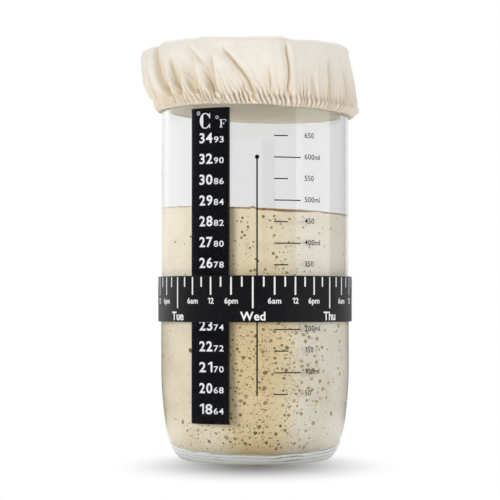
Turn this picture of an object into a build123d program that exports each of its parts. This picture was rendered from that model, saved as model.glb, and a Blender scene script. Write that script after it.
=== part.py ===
"""Sourdough starter jar: a glass jar under a gathered cotton cover, with a stick-on
thermometer strip, a printed volume scale and a feeding band with the days of the week.

The origin is at the middle of the foot, +Z is up and the scales face -Y. Millimetres.
Angles round the jar are counted from the front, towards +X.
"""

import os
from math import asin, atan2, cos, pi, radians, sin, tan

from build123d import *

# Glass jar, outside
jar_radius = 40.0
jar_height = 173.0
belly_height = 40.0  # below it the wall draws in towards the foot
heel_height = 16.4
heel_inset = 1.7
stand_inset = 10.5
stand_width = 2.6
push_up = 1.5  # rise of the base's middle above the table

# Glass jar, inside and mouth
wall = 3.0
floor_height = 4.6
floor_round = 12.0  # how far the inside corner reaches over the floor
shoulder_rise = 6.5
neck_length = 12.5
neck_inset = 3.2
mouth_wall = 2.8
bead_height = 3.0  # the ring under the screw thread
bead_depth = 0.9
lip_edge = 0.8  # cut off each edge of the rim

# Starter
starter_height = 105.4
starter_tilt = 2.4  # degrees that its surface falls towards +X
starter_gap = 0.05

# Print on the glass
print_gap = 0.03
print_thickness = 0.05
tick_width = 0.45
tick_start_angle = 11.2
short_tick_length = 5.9
long_tick_length = 11.6
first_tick_height = 29.2
tick_pitch = 8.8
tick_margin = 6.0  # bare glass at least, between the uppermost tick and the hem
level_line_angle = 1.2
level_line_low = 28.6
level_dot_radius = 0.85

# Thermometer strip, in layers from the glass outwards
strip_rise = 0.5  # above the heel
strip_margin = 0.5  # below the hem
strip_width = 18.0
strip_angle = -27.7
layer_gap = 0.01
adhesive_thickness = 0.05
backing_thickness = 0.10
cell_thickness = 0.05
film_thickness = 0.06
cell_pitch = 8.54
cell_height = 6.6
cell_width = 14.0
first_cell_rise = 6.3  # the lowest cell's middle above the strip's end

# Feeding band
band_low = 58.6
band_height = 19.0
band_thickness = 0.9
band_clearance = 0.15
band_edge = 0.25  # cut off each edge

# Print on the band
mark_gap = 0.02
mark_thickness = 0.06
mark_width = 0.7
mark_edge = 0.4  # between the band's upper edge and the marks
day_mark_length = 13.0
quarter_mark_length = 7.5
eighth_mark_length = 4.2
seam_span = 13.5  # the bare stretch between the week's end and its start
first_day_angle = -100.25
day_count = 7
marks_per_day = 8

# Cotton cover
cover_drop = 26.0  # from the rim down to the hem's lower edge
hem_height = 5.3
hem_shift = 1.2  # the gathered hem sits a little towards +X
hem_clearance = 0.4
hem_edge = 0.8  # cut off each edge
bag_swell = 0.6
bag_shift = -2.7  # the cloth puffs out towards -X
fold_count = 22
fold_depth = 2.3
fold_crowding = 10.0  # degrees that the folds draw together at -X
roof_thickness = 2.1
rim_clearance = 0.3
thread_depth = 1.2  # room for the screw thread, which stands proud of the neck

# Elastic and stitches of the hem
elastic_width = 3.0
elastic_thickness = 0.6
casing_clearance = 0.12
inner_casing = 0.35
outer_casing = 0.7
stitch_length = 2.0
stitch_thickness = 0.3
stitch_pitch = 3.0
stitch_gap = 0.02

# Shares: height above the hem, bag radius, way from the hem's shift to the bag's, fold depth
bag_shares = (
    (0.00, 0.960, 0.10, 0.30),
    (0.13, 0.975, 0.45, 0.80),
    (0.33, 0.990, 0.75, 1.00),
    (0.60, 1.000, 1.00, 1.00),
    (0.82, 0.995, 1.00, 0.90),
    (0.95, 0.965, 1.00, 0.70),
    (1.00, 0.905, 1.00, 0.40),
)
hollow_shift_shares = (0.0, 0.25, 0.8, 0.4)
right_fold_share = 0.35
roof_share = 0.4  # of the roof's thickness that is left where it dips over the mouth

heel_radius = jar_radius - heel_inset
neck_radius = jar_radius - neck_inset
mouth_radius = neck_radius - mouth_wall
inner_radius = jar_radius - wall
neck_height = jar_height - neck_length
stand_radius = jar_radius - stand_inset
shoulder_height = neck_height - shoulder_rise
belly_drop = belly_height - heel_height
belly_arc = (belly_drop**2 + heel_inset**2) / (2 * heel_inset)
belly_turn = asin(belly_drop / belly_arc)
heel_lean = 2 * atan2(heel_inset, belly_drop)  # of the wall at the heel, off upright
hem_low = jar_height - cover_drop
hem_high = hem_low + hem_height
tick_count = 1 + int((hem_low - tick_margin - first_tick_height) / tick_pitch)
strip_low = heel_height + strip_rise
strip_high = hem_low - strip_margin
cell_count = 1 + int((strip_high - strip_low - 2 * first_cell_rise) / cell_pitch)
adhesive_gap = layer_gap
backing_gap = adhesive_gap + adhesive_thickness + layer_gap
cell_gap = backing_gap + backing_thickness + layer_gap
film_gap = cell_gap + cell_thickness + layer_gap
band_radius = jar_radius + film_gap + film_thickness + band_clearance
day_span = (360 - seam_span) / day_count
hem_bore = jar_radius + hem_clearance
elastic_radius = hem_bore + inner_casing + casing_clearance
hem_radius = elastic_radius + elastic_thickness + casing_clearance + outer_casing + hem_shift
bag_radius = hem_radius + bag_swell


def round_angle(length, radius):
    """The angle in degrees that a length takes round a radius."""
    return length / radius * 180 / pi


def radial_plane(angle):
    """A plane through the jar's axis whose x points out at an angle from the front."""
    turn = radians(angle)
    return Plane(origin=(0, 0, 0), x_dir=(sin(turn), -cos(turn), 0), z_dir=(-cos(turn), -sin(turn), 0))


def belly_end(out):
    """Where the drawn-in wall meets the heel, on a surface that lies out from the glass."""
    reach = belly_arc + out
    return (jar_radius - belly_arc + reach * cos(belly_turn), belly_height - reach * sin(belly_turn))


def heel_corner(heel, height):
    """Where the line of the wall at the heel meets a height below it."""
    return (heel[0] - (heel[1] - height) * tan(heel_lean), height)


def skin(angle, out, thickness, low, high):
    """The section of a thin layer on the glass between two heights."""
    near, far = jar_radius + out, jar_radius + out + thickness
    top = max(high, shoulder_height)
    with BuildSketch(radial_plane(angle)) as section:
        with BuildLine():
            inner_wall = Line((near, top), (near, belly_height))
            TangentArc(inner_wall @ 1, belly_end(out), tangent=(0, -1))
            outer_wall = Line((far, top), (far, belly_height))
            TangentArc(outer_wall @ 1, belly_end(out + thickness), tangent=(0, -1))
            Line(inner_wall @ 0, outer_wall @ 0)
            Line(belly_end(out), belly_end(out + thickness))
        make_face()
        with Locations((jar_radius, (low + high) / 2)):
            Rectangle(jar_radius, high - low, mode=Mode.INTERSECT)
    return section.sketch


def hollow_profile(gap):
    """Half of the jar's hollow, drawn a gap inside the glass."""
    side, floor = inner_radius - gap, floor_height + gap
    heel = (side - heel_inset, heel_height + gap)
    corner = heel_corner(heel, floor)
    floor_edge = (corner[0] - floor_round, floor)
    bend_middle = (Vector(*heel) + Vector(*corner) * 2 + Vector(*floor_edge)) / 4
    neck = (mouth_radius - gap, neck_height)
    with BuildSketch(Plane.XZ) as profile:
        with BuildLine():
            body = Line((side, shoulder_height), (side, belly_height + gap))
            TangentArc(body @ 1, heel, tangent=(0, -1))
            Polyline(heel, bend_middle, floor_edge, (0, floor), (0, jar_height))
            Polyline((0, jar_height), (neck[0], jar_height), neck, body @ 0)
        make_face()
    return profile.sketch


# The glass: a moulded body with a pushed-up base and a bead round its neck, then its hollow
with BuildPart() as glass_jar:
    with BuildSketch(Plane.XZ):
        with BuildLine():
            body = Line((jar_radius, shoulder_height), (jar_radius, belly_height))
            TangentArc(body @ 1, (heel_radius, heel_height), tangent=(0, -1))
            foot = heel_corner((heel_radius, heel_height), 0)
            Bezier((heel_radius, heel_height), foot, (stand_radius, 0))
            Polyline((stand_radius, 0), (stand_radius - stand_width, 0), (0, push_up), (0, jar_height))
            TangentArc(body @ 0, (neck_radius, neck_height), tangent=(0, 1))
            Polyline(
                (neck_radius, neck_height),
                (neck_radius + bead_depth, neck_height + bead_depth),
                (neck_radius + bead_depth, neck_height + bead_height - bead_depth),
                (neck_radius, neck_height + bead_height),
                (neck_radius, jar_height),
                (0, jar_height),
            )
        make_face()
    revolve(axis=Axis.Z)
    revolve(hollow_profile(0), axis=Axis.Z, mode=Mode.SUBTRACT)
    rim = glass_jar.faces().filter_by(Axis.Z).sort_by(Axis.Z)[-1]
    chamfer(rim.edges(), length=lip_edge)

# The starter fills the hollow, and its surface leans a little
with BuildPart() as starter:
    revolve(hollow_profile(starter_gap), axis=Axis.Z)
    surface = Plane(origin=(0, 0, starter_height)).rotated((0, starter_tilt, 0))
    split(bisect_by=surface, keep=Keep.BOTTOM)

# Volume ticks: long ones at the full hundreds, short ones between
with BuildPart() as volume_ticks:
    for number in range(tick_count):
        height = first_tick_height + number * tick_pitch
        low, high = height - tick_width / 2, height + tick_width / 2
        length = long_tick_length if number % 2 else short_tick_length
        line = skin(tick_start_angle, print_gap, print_thickness, low, high)
        revolve(line, axis=Axis.Z, revolution_arc=round_angle(length, jar_radius))

# Level line, from its dot beside the second tick from the top down to the lowest
dot_height = first_tick_height + (tick_count - 2) * tick_pitch
dot_low, dot_high = dot_height - level_dot_radius, dot_height + level_dot_radius
with BuildPart() as level_line:
    dot_span = round_angle(2 * level_dot_radius, jar_radius)
    dot = skin(level_line_angle - dot_span / 2, print_gap, print_thickness, dot_low, dot_high)
    revolve(dot, axis=Axis.Z, revolution_arc=dot_span)
    with BuildSketch(Plane(origin=(0, 0, dot_height), z_dir=radial_plane(level_line_angle).x_dir)):
        Circle(level_dot_radius)
    extrude(amount=2 * jar_radius, mode=Mode.INTERSECT)
    line_span = round_angle(tick_width, jar_radius)
    line = skin(level_line_angle - line_span / 2, print_gap, print_thickness, level_line_low, dot_height)
    revolve(line, axis=Axis.Z, revolution_arc=line_span)


def strip_layer(out, thickness, low, high, width):
    """One layer of the thermometer strip as a section, with the angle that it spans."""
    span = round_angle(width, jar_radius)
    return skin(strip_angle - span / 2, out, thickness, low, high), span


# Thermometer strip: adhesive, black backing, liquid-crystal cells and clear film
with BuildPart() as thermometer_adhesive:
    layer, span = strip_layer(adhesive_gap, adhesive_thickness, strip_low, strip_high, strip_width)
    revolve(layer, axis=Axis.Z, revolution_arc=span)

with BuildPart() as thermometer_strip:
    layer, span = strip_layer(backing_gap, backing_thickness, strip_low, strip_high, strip_width)
    revolve(layer, axis=Axis.Z, revolution_arc=span)

with BuildPart() as thermometer_cells:
    for number in range(cell_count):
        middle = strip_low + first_cell_rise + number * cell_pitch
        low, high = middle - cell_height / 2, middle + cell_height / 2
        layer, span = strip_layer(cell_gap, cell_thickness, low, high, cell_width)
        revolve(layer, axis=Axis.Z, revolution_arc=span)

with BuildPart() as thermometer_film:
    layer, span = strip_layer(film_gap, film_thickness, strip_low, strip_high, strip_width)
    revolve(layer, axis=Axis.Z, revolution_arc=span)

# Feeding band: a flat silicone ring that clears the strip
with BuildPart() as feeding_band:
    with BuildSketch(Plane.XZ):
        with Locations((band_radius, band_low)):
            Rectangle(band_thickness, band_height, align=(Align.MIN, Align.MIN))
        chamfer(vertices(), length=band_edge)
    revolve(axis=Axis.Z)

# Marks of the band: days, quarters and eighths of a day, hung from the upper edge
with BuildPart() as band_ticks:
    mark_radius = band_radius + band_thickness + mark_gap
    mark_top = band_low + band_height - mark_edge
    mark_span = round_angle(mark_width, mark_radius)
    for number in range(day_count * marks_per_day + 1):
        if number % marks_per_day == 0:
            length = day_mark_length
        elif number % 2 == 0:
            length = quarter_mark_length
        else:
            length = eighth_mark_length
        angle = first_day_angle + number * day_span / marks_per_day
        with BuildSketch(radial_plane(angle - mark_span / 2)):
            with Locations((mark_radius, mark_top)):
                Rectangle(mark_thickness, length, align=(Align.MIN, Align.MAX))
        revolve(axis=Axis.Z, revolution_arc=mark_span)


def fold_point(number, radius, shift, depth):
    """A point of a level cut through the bag: a crest for a half number, a valley for a whole one."""
    turn = 2 * pi * number / fold_count
    turn -= radians(fold_crowding) * sin(turn + pi / 2)
    left_share = (1 - sin(turn)) / 2
    side_share = right_fold_share + (1 - right_fold_share) * left_share
    reach = radius if number % 1 else radius - depth * side_share
    return (shift + reach * sin(turn), -reach * cos(turn))


def fold_section(height, radius, shift, depth):
    """A level cut through the gathered bag, one arc for each puff between two valleys."""
    with BuildSketch(Plane.XY.offset(height)) as section:
        with BuildLine():
            for number in range(fold_count):
                start = fold_point(number, radius, shift, depth)
                crest = fold_point(number + 1 / 2, radius, shift, depth)
                end = fold_point((number + 1) % fold_count, radius, shift, depth)
                ThreePointArc(start, crest, end)
        make_face()
    return section.sketch


def hollow_section(height, radius, shift):
    """A level cut through the cover's hollow, which widens by as much as it shifts."""
    with BuildSketch(Plane.XY.offset(height)) as section:
        with Locations((shift, 0)):
            Circle(radius + abs(shift))
    return section.sketch


# Levels of the cover: its gathered bag outside, and its hollow, which leans with the bag
bag_low = hem_high - hem_edge
roof_low = jar_height + rim_clearance
roof_high = roof_low + roof_thickness
bag_height = roof_high - bag_low
dip_height = roof_low + roof_share * roof_thickness
dip_radius = mouth_radius + mouth_wall / 2
neck_clear = neck_radius + thread_depth + rim_clearance
bag_levels = [
    fold_section(
        bag_low + height_share * bag_height,
        bag_radius * radius_share,
        hem_shift + shift_share * (bag_shift - hem_shift),
        fold_depth * depth_share,
    )
    for height_share, radius_share, shift_share, depth_share in bag_shares
]
hollow_sizes = (
    (hem_high, hem_bore),
    (shoulder_height + shoulder_rise / 2, hem_bore),
    (neck_height + bead_height, neck_clear),
    (roof_low, neck_clear),
)
hollow_levels = [
    hollow_section(height, radius, shift_share * bag_shift)
    for (height, radius), shift_share in zip(hollow_sizes, hollow_shift_shares)
]

# Cotton cover: a sewn hem with its casing, and the gathered bag above it
with BuildPart() as cover_cloth:
    with BuildSketch(Plane.XY.offset(hem_low)):
        with Locations((hem_shift, 0)):
            Circle(hem_radius)
    extrude(amount=hem_height)
    chamfer(cover_cloth.edges(), length=hem_edge)
    loft(bag_levels, ruled=True)
    with BuildSketch(Plane.XY.offset(hem_low)):
        Circle(hem_bore)
    extrude(amount=hem_height, mode=Mode.SUBTRACT)
    loft(hollow_levels, ruled=True, mode=Mode.SUBTRACT)
    with BuildSketch(Plane.XY.offset(hem_low + hem_height / 2)):
        Circle(elastic_radius + elastic_thickness + casing_clearance)
        Circle(elastic_radius - casing_clearance, mode=Mode.SUBTRACT)
    extrude(amount=elastic_width / 2 + casing_clearance, both=True, mode=Mode.SUBTRACT)
    with BuildSketch(Plane.XZ):
        with BuildLine():
            dip_edge = (mouth_radius - roof_thickness, dip_height)
            Polyline((0, dip_height), dip_edge, (dip_radius, roof_high), (0, roof_high), (0, dip_height))
        make_face()
    revolve(axis=Axis.Z, mode=Mode.SUBTRACT)

# Elastic, flat inside the hem's casing
with BuildPart() as hem_elastic:
    with BuildSketch(Plane.XY.offset(hem_low + hem_height / 2)):
        Circle(elastic_radius + elastic_thickness)
        Circle(elastic_radius, mode=Mode.SUBTRACT)
    extrude(amount=elastic_width / 2, both=True)

# Stitches that close the casing, in a line round the hem
with BuildPart() as hem_stitches:
    stitch_radius = hem_radius + stitch_gap + stitch_thickness / 2
    stitch_count = int(2 * pi * stitch_radius / stitch_pitch)
    with Locations((hem_shift, 0, hem_high - hem_edge - stitch_thickness)):
        with PolarLocations(stitch_radius, stitch_count):
            Box(stitch_thickness, stitch_length, stitch_thickness)

os.makedirs("parts", exist_ok=True)
glass_jar.part.label = "glass_jar"
export_step(glass_jar.part, "parts/glass_jar.step")
starter.part.label = "starter"
export_step(starter.part, "parts/starter.step")
volume_ticks.part.label = "volume_ticks"
export_step(volume_ticks.part, "parts/volume_ticks.step")
level_line.part.label = "level_line"
export_step(level_line.part, "parts/level_line.step")
thermometer_adhesive.part.label = "thermometer_adhesive"
export_step(thermometer_adhesive.part, "parts/thermometer_adhesive.step")
thermometer_strip.part.label = "thermometer_strip"
export_step(thermometer_strip.part, "parts/thermometer_strip.step")
thermometer_cells.part.label = "thermometer_cells"
export_step(thermometer_cells.part, "parts/thermometer_cells.step")
thermometer_film.part.label = "thermometer_film"
export_step(thermometer_film.part, "parts/thermometer_film.step")
feeding_band.part.label = "feeding_band"
export_step(feeding_band.part, "parts/feeding_band.step")
band_ticks.part.label = "band_ticks"
export_step(band_ticks.part, "parts/band_ticks.step")
cover_cloth.part.label = "cover_cloth"
export_step(cover_cloth.part, "parts/cover_cloth.step")
hem_elastic.part.label = "hem_elastic"
export_step(hem_elastic.part, "parts/hem_elastic.step")
hem_stitches.part.label = "hem_stitches"
export_step(hem_stitches.part, "parts/hem_stitches.step")
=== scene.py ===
"""The looks of a sourdough starter jar, laid out as an add-on and run as a script.

Everything is in metres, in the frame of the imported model: +Z is up, the scales face -Y, and
angles round the jar are counted from the front towards +X.
"""

import random
from math import asin, ceil, cos, exp, floor, hypot, pi, radians, sin, sqrt, tan

import bmesh
import bpy
from bpy.props import FloatProperty, FloatVectorProperty, IntProperty, PointerProperty
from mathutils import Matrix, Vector, noise


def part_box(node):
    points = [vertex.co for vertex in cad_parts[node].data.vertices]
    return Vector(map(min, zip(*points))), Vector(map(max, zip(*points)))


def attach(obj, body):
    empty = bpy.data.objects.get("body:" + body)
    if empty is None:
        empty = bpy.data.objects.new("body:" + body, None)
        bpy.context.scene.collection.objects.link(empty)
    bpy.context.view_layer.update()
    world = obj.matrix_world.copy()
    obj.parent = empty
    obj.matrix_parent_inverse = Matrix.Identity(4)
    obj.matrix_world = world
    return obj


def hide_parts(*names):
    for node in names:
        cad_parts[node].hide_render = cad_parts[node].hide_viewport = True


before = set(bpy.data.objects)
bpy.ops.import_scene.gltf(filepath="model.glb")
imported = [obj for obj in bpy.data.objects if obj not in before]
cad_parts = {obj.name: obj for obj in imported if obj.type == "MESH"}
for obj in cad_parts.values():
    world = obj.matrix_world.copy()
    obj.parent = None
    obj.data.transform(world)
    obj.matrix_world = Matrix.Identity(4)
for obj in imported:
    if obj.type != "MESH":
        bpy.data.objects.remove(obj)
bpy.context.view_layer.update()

bl_info = {
    "name": "Sourdough starter jar",
    "version": (1, 0, 0),
    "blender": (4, 5, 0),
    "location": "3D View > Sidebar > Jar",
    "description": "Dresses a sourdough starter jar: glass, dough, print, feeding band and cotton cover",
    "category": "Add Mesh",
}

MM = 0.001
DEGREE = pi / 180
WHITE = (1.0, 1.0, 1.0, 1.0)
JAR_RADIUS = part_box("glass_jar")[1].x
DOUGH_RADIUS = 37.1 * MM
BAND_LOW, BAND_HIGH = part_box("feeding_band")[0].z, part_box("feeding_band")[1].z
BAND_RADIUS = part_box("feeding_band")[1].x
STRIP_LOW, STRIP_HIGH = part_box("thermometer_film")[0].z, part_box("thermometer_film")[1].z
PRINT_RADIUS = BAND_RADIUS + 0.02 * MM

# Sizes that the visible pieces share with the solids, in millimetres
BELLY = 40.0  # height at which the wall starts to draw in towards the foot
HEEL = (38.3, 16.4)
SHOULDER, NECK, RIM = 154.0, 160.5, 173.0
CELL_RISE, CELL_PITCH = 6.3, 8.54  # of the thermometer's readings, from the strip's lower end
TICK_LOW, TICK_PITCH = 29.2, 8.8
HOOP_RADIUS = 40.62  # inner side of the cover's casing
FOOT_TURN, SEAM = 0.9, 3.7  # heights above the hem's edge where its turn ends and where its seam is
ROOF_INSET, ROOF_RISE = 3.2, 2.4  # of the cover's rounded upper edge


def length(name, description, default):
    """A property for a size in metres."""
    return FloatProperty(name=name, description=description, default=default, unit="LENGTH", precision=5)


def colour(name, description, default):
    """A property for a colour, given in linear values."""
    return FloatVectorProperty(
        name=name, description=description, default=default, subtype="COLOR", size=3, min=0.0, max=1.0
    )


def number(name, description, default, **more):
    """A property for a plain number."""
    return FloatProperty(name=name, description=description, default=default, **more)


def whole(name, description, default, least):
    """A property for a whole number."""
    return IntProperty(name=name, description=description, default=default, min=least)


def linear(red, green, blue):
    """A linear colour from the 0 to 255 values of a screen colour."""

    def one(value):
        share = value / 255
        return share / 12.92 if share <= 0.04045 else ((share + 0.055) / 1.055) ** 2.4

    return one(red), one(green), one(blue)


def mix(first, second, share):
    """A number or a colour between two others."""
    if hasattr(first, "__len__"):
        return tuple(mix(a, b, share) for a, b in zip(first, second))
    return first + (second - first) * share


def smooth(value, low, high):
    """0 below low, 1 above high, and a smooth step between."""
    share = min(max((value - low) / (high - low), 0), 1)
    return share * share * (3 - 2 * share)


def along(places, place):
    """The value at a place of a table of (place, value) pairs, joined by smooth steps."""
    if place <= places[0][0]:
        return places[0][1]
    for (near, first), (far, second) in zip(places, places[1:]):
        if place <= far:
            return mix(first, second, smooth(place, near, far))
    return places[-1][1]


def straight(places, place):
    """The value at a place of a table of (place, value) pairs, joined by straight lines."""
    if place <= places[0][0]:
        return places[0][1]
    for (near, first), (far, second) in zip(places, places[1:]):
        if place <= far:
            return mix(first, second, (place - near) / (far - near))
    return places[-1][1]


def on_wall(radius, angle, height):
    """A point at a radius, an angle from the front in degrees, and a height."""
    return (radius * sin(angle * DEGREE), -radius * cos(angle * DEGREE), height)


# Outlines


def bezier(controls, steps):
    """Points along a curve through its first and last control, the first one left out."""
    found = []
    for step in range(1, steps + 1):
        points = [Vector(point) for point in controls]
        while len(points) > 1:
            points = [a.lerp(b, step / steps) for a, b in zip(points, points[1:])]
        found.append(tuple(points[0]))
    return found


def line(start, end, steps):
    """Points along a straight line, the first one left out."""
    return bezier((start, end), steps)


# Meshes


def lathe(profile, angles, shape=None):
    """Points and faces of a line of (radius, height) turned round the jar, closed over the axis.

    shape, where given, moves a point: it takes its row in the profile, angle, radius and height.
    """
    points, rings, faces = [], [], []
    for row, (radius, height) in enumerate(profile):
        if radius < 1e-9:
            rings.append([len(points)])
            points.append((0, 0, height))
            continue
        rings.append(list(range(len(points), len(points) + len(angles))))
        for angle in angles:
            moved = shape(row, angle, radius, height) if shape else (radius, height)
            points.append(on_wall(moved[0], angle, moved[1]))
    count = len(angles)
    for lower, upper in zip(rings, rings[1:]):
        for here in range(count):
            there = (here + 1) % count
            corners = [lower[here % len(lower)], lower[there % len(lower)]]
            corners += [upper[there % len(upper)], upper[here % len(upper)]]
            faces.append(list(dict.fromkeys(corners)))
    return points, faces


def between(first, second, count):
    """Faces between two rings of points, given by the number of each ring's first point."""
    pairs = [(here, (here + 1) % count) for here in range(count)]
    return [[first + here, first + there, second + there, second + here] for here, there in pairs]


def fan(first, middle, count):
    """Faces between a ring of points and the one point in its middle."""
    return [[first + here, first + (here + 1) % count, middle] for here in range(count)]


def circle(reach, sides):
    """Points round a flat circle."""
    turns = [2 * pi * side / sides for side in range(sides)]
    return [(reach * cos(turn), reach * sin(turn)) for turn in turns]


def round_angles(count, extra=()):
    """Angles in degrees for a full turn, evenly spaced, with extra ones for a fine line."""
    return sorted({round(360 * step / count - 180, 4) for step in range(count)} | set(extra))


def add_piece(name, points, faces, finishes, body, slot, replaced=(), sharp=40, smooth_faces=True):
    """Makes a mesh piece that rides on a body, with its materials. Its slot is not used."""
    mesh = bpy.data.meshes.new(name)
    mesh.from_pydata([tuple(point) for point in points], [], faces)
    for finish in finishes:
        mesh.materials.append(finish)
    piece = bpy.data.objects.new(name, mesh)
    bpy.context.scene.collection.objects.link(piece)
    tidy(mesh)
    if smooth_faces:
        mesh.shade_smooth()
        if sharp:
            mesh.set_sharp_from_angle(angle=radians(sharp))
    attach(piece, body)
    if replaced:
        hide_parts(*replaced)
    return piece


def tidy(mesh):
    """Turns the faces of a closed mesh outwards."""
    shape = bmesh.new()
    shape.from_mesh(mesh)
    bmesh.ops.recalc_face_normals(shape, faces=shape.faces)
    shape.to_mesh(mesh)
    shape.free()
    mesh.validate()


def add_values(piece, name, values):
    """Gives each point of a piece a number that a material reads."""
    attribute = piece.data.attributes.new(name, "FLOAT", "POINT")
    attribute.data.foreach_set("value", values)


def add_colours(piece, name, colours):
    """Gives each point of a piece a colour that a material reads."""
    attribute = piece.data.color_attributes.new(name, "FLOAT_COLOR", "POINT")
    attribute.data.foreach_set("color", [part for shade in colours for part in (*shade, 1.0)])


def curved_plate(angle, width, low, high, inner, outer, corner=0.0, steps=32):
    """A thin plate that lies round the jar, with rounded corners. Angle is its middle, in degrees."""
    points, faces = [], []
    rows = [low, high] if not corner else []
    if corner:
        turns = [radians(90 * step / 6) for step in range(7)]
        rows = [low + corner - corner * cos(turn) for turn in turns]
        rows += [high - corner + corner * sin(turn) for turn in turns]
    for row, height in enumerate(rows):
        cut = 0.0
        if corner:
            below, above = low + corner - height, height - (high - corner)
            reach = max(below, above, 0.0)
            cut = corner - sqrt(max(corner * corner - reach * reach, 0.0))
        for radius in (inner, outer):
            half = (width / 2 - cut) / outer / DEGREE
            for step in range(steps + 1):
                points.append(on_wall(radius, angle + half * (2 * step / steps - 1), height))
    across = steps + 1
    for row in range(len(rows)):
        start = row * 2 * across
        if row:
            before = start - 2 * across
            for step in range(steps):
                faces.append([before + step, before + step + 1, start + step + 1, start + step])
                a, b = before + across + step, start + across + step
                faces.append([a, b, b + 1, a + 1])
            for edge in (0, steps):
                faces.append([before + edge, start + edge, start + across + edge, before + across + edge])
        if row in (0, len(rows) - 1):
            for step in range(steps):
                a = start + step
                faces.append([a, a + 1, a + 1 + across, a + across])
    return points, faces


def joined(parts):
    """One list of points and one of faces from several."""
    points, faces = [], []
    for more_points, more_faces in parts:
        start = len(points)
        points += more_points
        faces += [[corner + start for corner in face] for face in more_faces]
    return points, faces


# Materials


class Socket:
    """A value or colour in a material, on which plain sums make Math nodes."""

    def __init__(self, finish, socket):
        self.finish, self.socket = finish, socket

    def sum(self, operation, *values):
        """A Math node on some values."""
        return self.finish.node("Math", {"operation": operation}, dict(enumerate(values)))

    def __add__(self, other):
        return self.sum("ADD", self, other)

    def __sub__(self, other):
        return self.sum("SUBTRACT", self, other)

    def __rsub__(self, other):
        return self.sum("SUBTRACT", other, self)

    def __mul__(self, other):
        return self.sum("MULTIPLY", self, other)

    def __truediv__(self, other):
        return self.sum("DIVIDE", self, other)

    __radd__, __rmul__ = __add__, __mul__

    def larger(self, other):
        """The larger of two values."""
        return self.sum("MAXIMUM", self, other)

    def sine(self):
        """The sine of a value in radians."""
        return self.sum("SINE", self)

    def held(self):
        """The value, held between 0 and 1."""
        return self.finish.node("Clamp", {}, {0: self})

    def step(self, low, high):
        """0 below low, 1 above high, and a smooth step between."""
        ends = {"Value": self, "From Min": low, "From Max": high}
        return self.finish.node("MapRange", {"interpolation_type": "SMOOTHSTEP"}, ends)


class Finish:
    """A material or the surroundings, and the nodes that make it up."""

    def __init__(self, name, kind="materials"):
        self.made = getattr(bpy.data, kind).new(name)
        self.made.use_nodes = True
        self.tree = self.made.node_tree
        self.tree.nodes.clear()

    def node(self, kind, settings=None, inputs=None, output=0):
        """Adds a node: first its settings, then the values or links of its inputs."""
        made = self.tree.nodes.new("ShaderNode" + kind)
        for name, value in (settings or {}).items():
            setattr(made, name, value)
        for name, value in (inputs or {}).items():
            if isinstance(value, Socket):
                self.tree.links.new(value.socket, made.inputs[name])
            else:
                made.inputs[name].default_value = value
        return None if output is None else Socket(self, made.outputs[output])

    def place(self):
        """The point of the surface, in the piece's own frame."""
        return self.node("TexCoord", output="Object")

    def split(self, vector):
        """The three parts of a vector."""
        outputs = self.node("SeparateXYZ", {}, {0: vector}).socket.node.outputs
        return [Socket(self, output) for output in outputs]

    def value(self, name):
        """A number that the mesh carries."""
        return self.node("Attribute", {"attribute_name": name}, output="Fac")

    def shade(self, name):
        """A colour that the mesh carries."""
        return self.node("Attribute", {"attribute_name": name}, output="Color")

    def ray(self, kind):
        """1 for the rays of a kind, and 0 for others."""
        return self.node("LightPath", output=f"Is {kind} Ray")

    def facing(self):
        """0 where the surface is seen straight on, rising to 1 at its outline."""
        return self.node("LayerWeight", {}, {"Blend": 0.5}, output="Facing")

    def blend(self, share, first, second):
        """A colour between two others."""
        shades = (shade if isinstance(shade, Socket) else (*shade[:3], 1.0) for shade in (first, second))
        return self.node("Mix", {"data_type": "RGBA"}, {0: share, **dict(zip((6, 7), shades))}, output=2)

    def layered(self, share, first, second):
        """One shader that gives way to another as the share rises to 1."""
        return self.node("MixShader", {}, {0: share, 1: first, 2: second})

    def grain(self, size, detail=3.0, rough=0.5, stretch=(1, 1, 1), warp=0.0):
        """Cloudy noise whose patches have about a size in metres."""
        moved = {"Vector": self.place(), "Scale": [x / size for x in stretch]}
        moved = self.node("Mapping", {"vector_type": "POINT"}, moved)
        inputs = {"Vector": moved, "Scale": 1.0, "Detail": detail, "Roughness": rough, "Distortion": warp}
        return self.node("TexNoise", {}, inputs)

    def bump(self, height, depth, strength=1.0):
        """A normal that a height, given as a share of a depth in metres, has raised."""
        return self.node("Bump", {}, {"Height": height, "Distance": depth, "Strength": strength})

    def surface(self, shader, end="OutputMaterial"):
        """Ends the nodes with a shader."""
        self.node(end, {}, {"Surface": shader}, output=None)
        return self.made

    def principled(self, **inputs):
        """Ends the material with a Principled shader. An underscore in a name stands for a space."""
        return self.surface(self.node("BsdfPrincipled", {}, plain_names(inputs)))


def plain_names(inputs):
    """Socket names from keywords, with four parts to each plain colour."""
    named = {}
    for name, value in inputs.items():
        if isinstance(value, tuple) and len(value) == 3 and "Radius" not in name:
            value = (*value, 1.0)
        named[name.replace("_", " ")] = value
    return named


# Finishes


def round_the_jar(finish):
    """The distance round the glass from its front in metres, and the height above the table."""
    across, deep, height = finish.split(finish.place())
    return across.sum("ARCTAN2", across, 0 - deep) * JAR_RADIUS, height


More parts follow.
